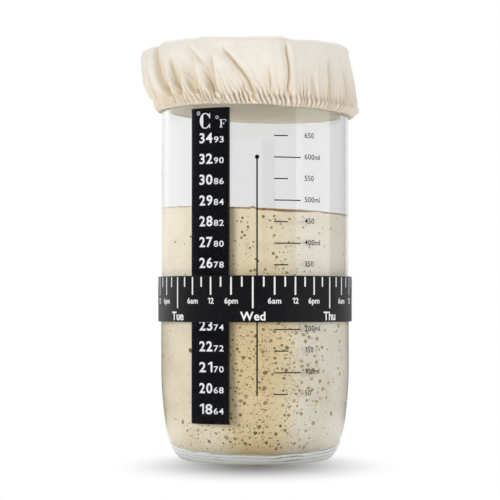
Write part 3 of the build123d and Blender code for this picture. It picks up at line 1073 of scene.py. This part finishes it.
# Creases of the bag: the valley as (angle, height), then width and depth in millimetres and lean.
# A broad one ends with the depth of the hollow beside it, its shift and its width.
LONG_DIAGONAL = ((-17.0, 170.1), (-11.3, 165.1), (-6.6, 160.6), (-3.6, 157.3), (-1.5, 153.7), (1.3, 150.1))
LONG_UPRIGHT = ((16.9, 172.6), (17.4, 168.2), (18.5, 162.9), (18.7, 158.1), (18.0, 154.4), (18.7, 150.8))
CREASES = (
    (((-62.5, 175.6), (-61.0, 163.2), (-56.5, 151.5)), 1.3, 1.6, 0.2, (3.4, 3.4, 3.6)),
    (((-47.5, 168.0), (-47.0, 158.0), (-46.5, 150.8)), 1.2, 1.2, 0.25, (3.0, 1.6, 2.4)),
    (((-33.4, 167.5), (-32.6, 157.4), (-31.4, 150.6)), 1.2, 1.3, 0.85, (3.0, -3.6, 3.6)),
    (((-22.4, 166.9), (-21.5, 155.2), (-20.6, 150.4)), 1.2, 1.5, 0.85, (3.0, -2.8, 2.6)),
    (((-35.6, 171.7), (-31.4, 167.8), (-27.9, 164.4)), 1.6, 1.0, 0.6),
    (LONG_DIAGONAL, 1.8, 2.0, 0.65),
    (((-6.1, 156.1), (-6.1, 150.5)), 1.0, 0.9, 0.7),
    (((7.7, 161.4), (8.3, 156.2), (8.4, 153.0), (9.6, 148.9)), 1.1, 1.0, 0.6),
    (LONG_UPRIGHT, 1.2, 1.3, 0.55),
    (((33.0, 160.5), (33.5, 151.0)), 1.2, 0.8, 0.5),
    (((47.0, 168.0), (46.0, 158.0), (45.0, 151.0)), 1.5, 0.9, 0.5),
    (((62.0, 164.0), (61.0, 151.0)), 1.4, 0.9, 0.5),
    (((79.0, 171.0), (78.0, 160.0), (76.0, 151.0)), 1.8, 1.2, 0.5),
    (((-78.0, 175.0), (-73.0, 151.5)), 2.4, 2.8, 0.4),
    (((-95.0, 174.0), (-91.0, 152.0)), 2.2, 2.6, 0.5),
)


def back_creases():
    """Creases for the sides and the back of the cover, which the photograph doesn't show."""
    draw = random.Random(5)
    found, angle = [], 94.0
    while angle < 255:
        high, slope = draw.uniform(161, 174), draw.uniform(-4, 4)
        path = ((angle + slope, high), (angle + slope * 0.4, (high + 151) / 2), (angle, 150.8))
        found.append((path, draw.uniform(1.1, 2.4), draw.uniform(0.8, 1.9), draw.uniform(0.35, 0.65)))
        angle += draw.uniform(7.5, 15.5)
    return found


class GatheredCloth:
    """The shape of the cotton over the mouth: a pleated hem and a bag with creases above it."""

    def __init__(self, sizes):
        draw = random.Random(3)
        self.sizes = sizes
        self.pleats = sizes.pleat_count
        self.reach = [draw.uniform(1.8, 3.2) + 8.0 * draw.random() ** 2.0 for _ in range(self.pleats)]
        self.tall = [draw.uniform(0.55, 1.25) for _ in range(self.pleats)]
        self.creases = list(CREASES) + back_creases()

    def low(self, angle):
        """The height of the hem's edge, which hangs lower at the right."""
        return 147.3 - 1.5 * sin(angle * DEGREE) + 0.25 * noise.noise(Vector((angle / 14, 1, 0)))

    def high(self, angle):
        """The height of the roof's edge, with a notch at the left and a crown in front."""
        notch = 1.6 * exp(-(((angle + 62) / 3.5) ** 2))
        notch += 1.4 * (1 - smooth(angle, -70, -60)) * smooth(angle, -130, -100)
        crown = 0.6 * smooth(angle, -36, -28) * (1 - smooth(angle, 16, 22))
        level = 174.4 + 1.6 * sin(angle * DEGREE) ** 2 + crown - notch
        return level + 0.5 * noise.noise(Vector((angle / 20, 5, 0)))

    def side(self, angle, height):
        """The half-width of the cover before its folds."""
        left, right = straight(LEFT_SIDE, height), straight(RIGHT_SIDE, height)
        front = straight(FRONT_SIDE, height)
        across = sin(angle * DEGREE)
        return front + (right - left) / 2 * across + ((right + left) / 2 - front) * across * across

    def pleat(self, angle, height, low):
        """How far the hem's pleats stand out at a place, in millimetres."""
        lean = along(((-60, 0.0), (-45, 1.0), (-5, 1.0), (25, 0.0)), angle) * 1.1
        drift = 0.9 * noise.noise(Vector((angle / 9, 0, 2)))
        drift += 0.5 * noise.noise(Vector((angle / 3, height / 5, 7)))
        turns = (angle + 180) / 360 * self.pleats + drift + (height - low) * lean / 5
        near = floor(turns)
        share = turns - near
        here, there = near % self.pleats, (near + 1) % self.pleats
        reach = mix(self.reach[here], self.reach[there], smooth(share, 0, 1))
        tall = mix(self.tall[here], self.tall[there], smooth(share, 0, 1))
        wave = cos(2 * pi * share) - 0.25 * cos(4 * pi * share)
        above = height - (low + SEAM)
        fade = 1.0 if above < 0 else exp(-above / reach)
        tall *= along(((-60, 1.4), (-25, 1.15), (10, 1.0)), angle)
        return self.sizes.pleat_depth / MM * tall * wave * fade

    def shade(self, pleat):
        """The painted shade in a pleat's hollow, for how far its pleat stands out."""
        return 0.7 * smooth(-pleat, -0.1, 0.8)

    def fold(self, angle, height):
        """The depth of the creases at a place, and the painted shade in them there."""
        depth, dark = 0.0, 0.0
        for path, width, deep, lean, *broad in self.creases:
            top, bottom = path[0][1], path[-1][1]
            if height > top + 2.5 or height < bottom - 1.5:
                continue
            middle = place_on(path, height)
            away = ((angle - middle + 180) % 360 - 180) * 0.77  # millimetres of the bag to a degree
            if abs(away) > 4 * width + 6:
                continue
            near = width * (2 * lean if away < 0 else 2 * (1 - lean))
            ends = (1 - smooth(height, top - 3.5, top + 2.5)) * smooth(height, bottom - 1.5, bottom + 1.0)
            valley = exp(-(hypot(away, 0.12) - 0.12) / (0.8 * near))
            brow = exp(-(((abs(away) - 2.2 * near) / (1.3 * near)) ** 2))
            depth += ends * deep * (0.30 * brow - 1.15 * valley)
            crisp = 0.22 if broad else 0.5
            # Painted shade: a thin line along each valley, wider where the valley sinks
            dark += ends * min(deep, 1.5) * (crisp * exp(-((away / 0.5) ** 2)) + 0.2 * valley)
            if broad:
                reach, shift, wide = broad[0]
                share = (height - bottom) / (top - bottom)
                wide *= 0.5 + 0.8 * share
                sunk = exp(-(((away - shift * (0.5 + 0.7 * share)) / wide) ** 2))
                sunk *= 1 - 0.85 * smooth(share, 0.25, 1.0)
                depth -= ends * reach * sunk
                # Painted shade in the broad hollow
                dark += ends * 0.6 * sunk
        return depth, dark

    def lumps(self, angle, height):
        """Slow swellings of the bag."""
        place = Vector((cos(angle * DEGREE) * 3.2, sin(angle * DEGREE) * 3.2, height / 11))
        fine = Vector((cos(angle * DEGREE) * 11, sin(angle * DEGREE) * 11, height / 6))
        return 0.75 * noise.noise(place) + 0.35 * noise.noise(fine)


def place_on(path, height):
    """The angle of a crease at a height."""
    if height >= path[0][1]:
        return path[0][0]
    for (first, high), (second, low) in zip(path, path[1:]):
        if height >= low:
            return mix(first, second, (high - height) / (high - low))
    return path[-1][0]


def cloth_rows():
    """The rows of the cloth from its turned-in edge to the middle of its roof, as (part, share)."""
    rows = [("casing", step / 7) for step in range(8)]
    rows += [("turn", step / 5) for step in range(1, 6)]
    rows += [("hem", step / 8) for step in range(1, 9)]
    rows += [("bag", step / 36) for step in range(1, 37)]
    rows += [("shoulder", step / 8) for step in range(1, 9)]
    return rows + [("roof", (step / 16) ** 0.8) for step in range(1, 16)]


def cloth_point(cloth, angle, part, share):
    """A point of the cloth as its radius and height in millimetres, and its painted shade, which below zero
    is painted light.
    """
    low, high = cloth.low(angle), cloth.high(angle)
    hem_foot = cloth.side(angle, low + 0.8) + cloth.pleat(angle, low, low)
    if part == "casing":
        # The casing's -1 asks the material for painted light
        return HOOP_RADIUS, mix(low + 9.0, low + FOOT_TURN, share), -1.0
    if part == "turn":
        turn = pi * share
        middle, reach = (HOOP_RADIUS + hem_foot) / 2, (hem_foot - HOOP_RADIUS) / 2
        return middle - reach * cos(turn), low + FOOT_TURN - FOOT_TURN * sin(turn), 0.1
    if part == "hem":
        height = mix(low + FOOT_TURN, low + SEAM, share)
        swell, pleat = 0.3 * sin(pi * share), cloth.pleat(angle, height, low)
        return cloth.side(angle, height) + pleat + swell, height, cloth.shade(pleat)
    if part == "bag":
        height = mix(low + SEAM, high - ROOF_RISE, share)
        stitched = exp(-(((height - low - 4.0) / 0.55) ** 2))
        groove = along(((-50, 0.5), (-20, 0.15), (90, 0.12), (140, 0.4)), angle)
        depth, dark = cloth.fold(angle, height)
        pleat = cloth.pleat(angle, height, low)
        # Painted shade of the pleats' hollows, fading up the bag
        dark += cloth.shade(pleat) * exp(-(height - low - SEAM) / 3.0)
        pleat *= 1 - 0.15 * stitched
        radius = cloth.side(angle, height) + pleat + depth * smooth(height, low + 4.2, low + 7)
        radius += cloth.lumps(angle, height) * smooth(height, low + 4, low + 9) - groove * stitched
        # Painted shade also lies in the stitched groove
        return radius, height, dark + 0.35 * groove * stitched
    edge = high - ROOF_RISE
    depth, dark = cloth.fold(angle, edge)
    base = cloth.side(angle, edge) + depth + cloth.lumps(angle, edge)
    if part == "shoulder":
        turn = pi / 2 * share
        return base - ROOF_INSET * (1 - cos(turn)), edge + ROOF_RISE * sin(turn), dark * (1 - share)
    rim = base - ROOF_INSET
    reach = rim * (1 - share)
    across, deep = cos(angle * DEGREE), sin(angle * DEGREE)
    ripple = 0.42 * noise.noise(Vector((across * 5, deep * 5, 9))) * smooth(reach, 33, 42)
    level = mix(173.8, high, smooth(reach, 35.6, rim)) - 0.7 * (1 - smooth(reach, 8, 36))
    soft = 0.18 * noise.noise(Vector((reach * across / 9, reach * deep / 9, 4)))
    return reach, level + ripple + soft, 0.0


def build_cover(sizes):
    """The cotton cover as one sheet: casing, pleated hem, creased bag and the roof over the mouth."""
    cloth = GatheredCloth(sizes)
    count = sizes.columns
    rows = cloth_rows()
    points, faces, folds, flats = [], [], [], []
    run = [0.0] * count
    before = None
    for part, share in rows:
        ring = []
        for column in range(count):
            angle = 360 * column / count - 180
            radius, height, dark = cloth_point(cloth, angle, part, share)
            ring.append(on_wall(radius * MM, angle, height * MM))
            folds.append(dark)
        if before:
            run = [far + (Vector(a) - Vector(b)).length for far, a, b in zip(run, ring, before)]
        flats.append(list(run))
        points += ring
        before = ring
    for row in range(len(rows) - 1):
        faces += between(row * count, (row + 1) * count, count)
    points.append((0.0, 0.0, 173.1 * MM))
    folds.append(0.0)
    faces += fan((len(rows) - 1) * count, len(points) - 1, count)
    finish = cotton(sizes)
    piece = add_piece("cover_cotton", points, faces, [finish], "cover", "cotton", ["cover_cloth"], 0)
    far = hypot(before[0][0], before[0][1]) + run[0]
    warps, wefts = [], []
    for flat in flats:
        for column in range(count):
            angle = 2 * pi * column / count - pi
            reach = far - flat[column]
            warps.append(reach * sin(angle))
            wefts.append(-reach * cos(angle))
    add_values(piece, "warp", warps + [0.0])
    add_values(piece, "weft", wefts + [0.0])
    # fold carries the painted shade, and below zero painted light
    add_values(piece, "fold", folds)


def build_hem_thread(sizes):
    """Sewing thread that closes the hem's casing, each stitch sunk between two pleats."""
    cloth = GatheredCloth(sizes)
    draw = random.Random(9)
    parts, steps, sides = [], 6, 6
    seam_radius, pitch, stitch = 43.2, 2.45, 1.75  # in millimetres; pitch is from stitch to stitch
    span = 2 * pi * seam_radius / 360
    count = int(360 / (pitch / span))
    for place in range(count):
        start = -180 + 360 * place / count
        points, faces = [], []
        lift = draw.uniform(-0.12, 0.12)
        for step in range(steps + 1):
            angle = start + stitch / span * step / steps
            radius, height, _ = cloth_point(cloth, angle, "bag", 0.012)
            rise = sin(pi * step / steps)
            radius += 0.10 + 0.12 * rise
            height += 0.12 + lift * (step / steps - 0.5)
            for x, z in circle(0.13 * (0.5 + 0.5 * rise), sides):
                points.append(on_wall((radius + x) * MM, angle, (height + z) * MM))
            if step:
                faces += between(sides * (step - 1), sides * step, sides)
        ends = [list(reversed(range(sides))), list(range(sides * steps, sides * (steps + 1)))]
        parts.append((points, faces + ends))
    points, faces = joined(parts)
    thread = cotton(sizes, "thread", weave=False)
    add_piece("cover_thread", points, faces, [thread], "cover", "thread", ["hem_stitches"], 0)
    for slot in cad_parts["hem_elastic"].material_slots:
        slot.material = cotton(sizes, "elastic", weave=False)


# The stage


def build_floor(sizes):
    """A pale floor that keeps the jar's shadow, darkened round the jar's foot by a painted shadow that the
    camera sees, and turns plain white further off.
    """
    rings = (0.0, 0.05, 0.1, 0.2, 0.35, 0.6, 1.0, 2.0, 4.0, 8.0, 16.0)
    points, faces = lathe([(ring, 0.0) for ring in rings], round_angles(64))
    mesh = bpy.data.meshes.new("floor")
    mesh.from_pydata(points, [], faces)
    finish = Finish("floor")
    # Painted shadow: in an ellipse round the foot, centred a little in front, the camera sees a darker floor
    # fading to white
    moved = {"Vector": finish.place(), "Location": (0, 0.023, 0), "Scale": (1, 0.7, 1)}
    moved = finish.node("Mapping", {"vector_type": "POINT"}, moved)
    reach = finish.node("VectorMath", {"operation": "LENGTH"}, {0: moved}, output="Value")
    paints = (sizes.floor, sizes.floor_near)
    paint, near = (finish.node("BsdfDiffuse", {}, {"Color": (*shade, 1.0)}) for shade in paints)
    glows = ((WHITE, 1.0), ((0.84, 0.88, 0.88, 1), 1.0), (WHITE, 0.07))
    glows = [{"Color": shade, "Strength": power} for shade, power in glows]
    far, under, front = (finish.node("Emission", {}, glow) for glow in glows)
    clear = finish.ray("Transmission")
    shine = finish.ray("Glossy") * (1 - clear)
    seen = finish.layered(finish.ray("Camera"), paint, finish.layered(reach.step(0.0, 0.061), near, far))
    seen = finish.layered(shine * reach.step(0.08, 0.2), finish.layered(clear, seen, under), front)
    mesh.materials.append(finish.surface(seen))
    sheet = bpy.data.objects.new("floor", mesh)
    bpy.context.scene.collection.objects.link(sheet)
    tidy(mesh)


def build_world(sizes):
    """Soft studio surroundings: white behind, large pale cards at the sides, darker in front."""
    finish = Finish("studio", "worlds")
    x, y, z = finish.split(finish.node("TexCoord", output="Generated"))
    turn = x.sum("ARCTAN2", x, 0 - y) * (180 / pi)
    level = z.sum("ABSOLUTE", z)
    right = turn.step(49, 53) * (1 - turn.step(100, 108))
    left = turn.step(-148, -142) * (1 - turn.step(-84, -78))
    behind = turn.step(146, 152).larger(1 - turn.step(-148, -142))
    low = 1 - level.step(0.5, 0.62)
    dark = sizes.front_dark
    cards = right * low * (sizes.card - dark) + left * low * (sizes.left_card - dark)
    glossy = (dark + cards + behind * (1 - dark)).larger(z.step(0.6, 0.85) * 0.9)
    through = sizes.side_dark + (1 - sizes.side_dark) * y.sum("ABSOLUTE", y).step(0.25, 0.85)
    through = through * (sizes.behind + 0.07 * (1 - x.step(-0.046, -0.026)) - 0.03 * x.step(0.057, 0.072))
    clear, seen = finish.ray("Transmission"), finish.ray("Camera")
    shine = finish.ray("Glossy") * (1 - clear)
    strength = sizes.ambient * (1 - shine) * (1 - clear) * (1 - seen)
    strength = strength + seen + shine * glossy + clear * through
    ground = finish.node("Background", {}, {"Color": WHITE, "Strength": strength})
    bpy.context.scene.world = finish.surface(ground, "OutputWorld")


def add_lamp(name, place, aim, size, power):
    """A soft square lamp that looks at a height of the jar's axis, and that nothing mirrors."""
    data = bpy.data.lights.new(name, "AREA")
    data.shape, data.size, data.energy = "SQUARE", size, power
    lamp = bpy.data.objects.new(name, data)
    lamp.location = place
    lamp.rotation_euler = (Vector((0, 0, aim)) - Vector(place)).to_track_quat("-Z", "Y").to_euler()
    lamp.visible_glossy = lamp.visible_camera = lamp.visible_transmission = False
    bpy.context.scene.collection.objects.link(lamp)


def build_camera(sizes):
    """The camera at the photograph's angle: level with the band, and tipped up a little."""
    data = bpy.data.cameras.new("camera")
    data.sensor_width, data.lens = 36.0, sizes.lens
    data.clip_start, data.clip_end = 0.01, 60.0
    camera = bpy.data.objects.new("camera", data)
    camera.location = (0.0, -sizes.distance, sizes.eye_height)
    camera.rotation_euler = (pi / 2 + sizes.tip, 0.0, sizes.turn)
    bpy.context.scene.collection.objects.link(camera)
    bpy.context.scene.camera = camera


# Settings


class JarGlassSettings(bpy.types.PropertyGroup):
    """Sizes and colours of the glass."""

    lip_rounding: length("Lip rounding", "Rounding of the rim's edges", 1.0 * MM)
    thread_depth: length("Thread depth", "How far the screw thread stands out from the neck", 1.1 * MM)
    glass_tint: colour("Glass", "Colour of the glass", (0.985, 0.99, 0.985))
    # The foot's pale colour is a painted reflection, and its dark lines are painted refraction lines
    foot_light: colour("Foot", "Stippled foot of the glass", linear(236, 244, 250))
    foot_dark: colour("Foot lines", "Dark lines in the foot of the glass", linear(66, 68, 66))


class JarStarterSettings(bpy.types.PropertyGroup):
    """Colours of the starter, and how often a place is tried for a bubble."""

    cream: colour("Cream", "Dough on the left", linear(236, 225, 200))
    golden: colour("Golden", "Dough beside the thermometer", linear(222, 199, 151))
    # The grey of the dough on the right is a painted reflection
    grey: colour("Grey", "Dough on the right", linear(226, 220, 206))
    shadow: colour("Shadow", "Darker patches", linear(205, 190, 156))
    skin: colour("Skin", "Dried edge at the surface", linear(134, 98, 52))
    bubble_tries: whole("Bubble tries", "Places tried for a bubble", 24000, 0)


class JarStripSettings(bpy.types.PropertyGroup):
    """Sizes and colours of the thermometer strip."""

    corner: length("Corner", "Radius of the strip's corners", 0.5 * MM)
    black: colour("Black", "Backing of the strip", linear(13, 13, 17))
    figures: colour("Figures", "Printed readings", linear(232, 234, 238))
    edge_line: colour("Edge line", "Thin light line at each edge", linear(92, 94, 100))
    idle_cell: colour("Idle cell", "Liquid crystal away from its reading", linear(13, 14, 20))
    lit_cell: colour("Lit cell", "Liquid crystal at its reading", linear(12, 70, 84))
    lit_height: length("Lit height", "Height of the reading shown", 67.0 * MM)


class JarScaleSettings(bpy.types.PropertyGroup):
    """Sizes and colours of the volume scale."""

    ink: colour("Enamel", "Fired dark print", linear(12, 12, 12))
    number_height: length("Number height", "Height of the volume numbers", 2.3 * MM)
    line_width: length("Level line", "Width of the level line", 0.64 * MM)
    dot_radius: length("Level dot", "Radius of the dot at the level line's end", 0.9 * MM)


class JarBandSettings(bpy.types.PropertyGroup):
    """Sizes and colours of the feeding band."""

    charcoal: colour("Silicone", "Colour of the band", linear(15, 16, 19))
    # This pale colour is the band's real dust, and also its painted sheen at the outline
    dust: colour("Dust", "Pale dust on the band", linear(104, 104, 106))
    white: colour("Print", "Colour of the week's marks", linear(240, 240, 238))
    rib_pitch: length("Rib pitch", "Distance between two ribs", 0.5 * MM)
    rib_depth: length("Rib depth", "Depth between two ribs", 0.05 * MM)
    day_height: length("Day height", "Height of the days' names", 3.6 * MM)
    hour_height: length("Hour height", "Height of the hours' names", 2.4 * MM)


class JarCoverSettings(bpy.types.PropertyGroup):
    """Sizes and colours of the cotton cover."""

    columns: whole("Columns", "Points round the cloth", 1120, 60)
    pleat_count: whole("Pleats", "Pleats round the hem", 138, 12)
    pleat_depth: length("Pleat depth", "Half the depth of a pleat", 0.72 * MM)
    thread_pitch: length("Thread pitch", "Distance between two threads of the weave", 0.42 * MM)
    cloth_light: colour("Cotton", "Cloth in the light", linear(241, 237, 227))
    # Painted shade of the cloth towards the hem, which the random stains also lean towards
    cloth_low: colour("Lower cotton", "Cloth near the hem", linear(231, 217, 198))
    # Painted light for the hem's inner side
    cloth_inside: colour("Inside", "Cloth of the hem's inner side", linear(250, 240, 222))
    # Painted shade deep in the folds, also used for darker slubs and the weave
    cloth_fold: colour("Folds", "Cloth deep in its folds", linear(206, 184, 150))


class JarStageSettings(bpy.types.PropertyGroup):
    """Light, floor and camera."""

    ambient: number("Ambient", "Strength of the soft light from all round", 0.12, min=0.0)
    card: number("Right card", "Strength of the card at the right, in reflections", 2.4, min=0.0)
    left_card: number("Left card", "Strength of the card at the left, in reflections", 1.5, min=0.0)
    side_dark: number("Side", "Brightness to the sides, seen through the glass", 0.7, min=0.0)
    front_dark: number("Front", "Brightness in front of the jar, in reflections", 0.08, min=0.0)
    behind: number("Behind", "Brightness behind the jar, seen through the glass", 0.80, min=0.0)
    key: number("Key lamp", "Power of the lamp overhead, in watts", 5.0, min=0.0)
    fill: number("Fill lamp", "Power of the lamp in front, in watts", 10.8, min=0.0)
    side: number("Side lamp", "Power of the lamp at the right, in watts", 8.6, min=0.0)
    back: number("Back lamp", "Power of the lamp behind, in watts", 6.0, min=0.0)
    floor: colour("Floor", "Colour of the floor", (0.93, 0.93, 0.93))
    # Painted shadow on the floor round the jar's foot
    floor_near: colour("Floor beside the jar", "Colour of the floor in the jar's shadow", (0.47, 0.48, 0.50))
    lens: number("Lens", "Focal length in millimetres", 136.8, min=1.0)
    distance: length("Distance", "From the jar's axis to the camera", 0.813)
    eye_height: length("Eye height", "Height of the camera above the table", 0.0656)
    tip: number("Tip", "Angle that the camera looks up", 0.02893, subtype="ANGLE")
    turn: number("Turn", "Angle that the camera looks to the left", 0.00263, subtype="ANGLE")


# Operators


class JAR_OT_stage(bpy.types.Operator):
    """Add the floor, the light and the camera"""

    bl_idname = "jar.stage"
    bl_label = "Stage"

    def execute(self, context):
        sizes = context.scene.jar_stage
        context.scene.view_settings.view_transform = "Standard"
        build_floor(sizes)
        build_world(sizes)
        add_lamp("key", (-0.02, 0.24, 0.88), 0.08, 0.42, sizes.key)
        add_lamp("fill", (-0.85, -0.80, 0.14), 0.10, 0.6, sizes.fill)
        add_lamp("side", (0.95, -0.62, 0.14), 0.10, 0.6, sizes.side)
        add_lamp("back", (0.15, 1.15, 0.30), 0.10, 0.6, sizes.back)
        build_camera(sizes)
        return {"FINISHED"}


class JAR_OT_glass(bpy.types.Operator):
    """Add the glass jar"""

    bl_idname = "jar.glass"
    bl_label = "Glass jar"

    def execute(self, context):
        build_glass(context.scene.jar_glass)
        return {"FINISHED"}


class JAR_OT_starter(bpy.types.Operator):
    """Add the starter and its bubbles"""

    bl_idname = "jar.starter"
    bl_label = "Starter and bubbles"

    def execute(self, context):
        scatter_top_bubbles()
        build_starter(context.scene.jar_starter)
        build_bubbles(context.scene.jar_starter)
        return {"FINISHED"}


class JAR_OT_strip(bpy.types.Operator):
    """Add the thermometer strip and its readings"""

    bl_idname = "jar.strip"
    bl_label = "Thermometer strip"

    def execute(self, context):
        build_strip(context.scene.jar_strip)
        return {"FINISHED"}


class JAR_OT_scale(bpy.types.Operator):
    """Finish the volume scale and add its numbers"""

    bl_idname = "jar.scale"
    bl_label = "Volume scale"

    def execute(self, context):
        build_scale(context.scene.jar_scale)
        return {"FINISHED"}


class JAR_OT_band(bpy.types.Operator):
    """Add the feeding band and its week"""

    bl_idname = "jar.band"
    bl_label = "Feeding band"

    def execute(self, context):
        build_band(context.scene.jar_band)
        build_band_print(context.scene.jar_band)
        return {"FINISHED"}


class JAR_OT_cover(bpy.types.Operator):
    """Add the cotton cover and its thread"""

    bl_idname = "jar.cover"
    bl_label = "Cotton cover"

    def execute(self, context):
        build_cover(context.scene.jar_cover)
        build_hem_thread(context.scene.jar_cover)
        return {"FINISHED"}


class JAR_PT_panel(bpy.types.Panel):
    """The steps that dress the jar"""

    bl_idname = "JAR_PT_panel"
    bl_label = "Sourdough starter jar"
    bl_space_type = "VIEW_3D"
    bl_region_type = "UI"
    bl_category = "Jar"

    def draw(self, context):
        for step in STEPS:
            self.layout.operator(step.bl_idname)


SETTINGS = {
    "jar_glass": JarGlassSettings,
    "jar_starter": JarStarterSettings,
    "jar_strip": JarStripSettings,
    "jar_scale": JarScaleSettings,
    "jar_band": JarBandSettings,
    "jar_cover": JarCoverSettings,
    "jar_stage": JarStageSettings,
}
STEPS = (JAR_OT_stage, JAR_OT_glass, JAR_OT_starter, JAR_OT_strip, JAR_OT_scale, JAR_OT_band, JAR_OT_cover)


def register():
    """Adds the settings, the steps and the panel."""
    for name, group in SETTINGS.items():
        bpy.utils.register_class(group)
        setattr(bpy.types.Scene, name, PointerProperty(type=group))
    for step in (*STEPS, JAR_PT_panel):
        bpy.utils.register_class(step)


def unregister():
    """Takes the settings, the steps and the panel away again."""
    for step in (JAR_PT_panel, *reversed(STEPS)):
        bpy.utils.unregister_class(step)
    for name, group in SETTINGS.items():
        delattr(bpy.types.Scene, name)
        bpy.utils.unregister_class(group)


def main():
    """Dresses the jar."""
    register()
    bpy.ops.jar.stage()
    bpy.ops.jar.glass()
    bpy.ops.jar.starter()
    bpy.ops.jar.strip()
    bpy.ops.jar.scale()
    bpy.ops.jar.band()
    bpy.ops.jar.cover()


if __name__ == "__main__":
    main()
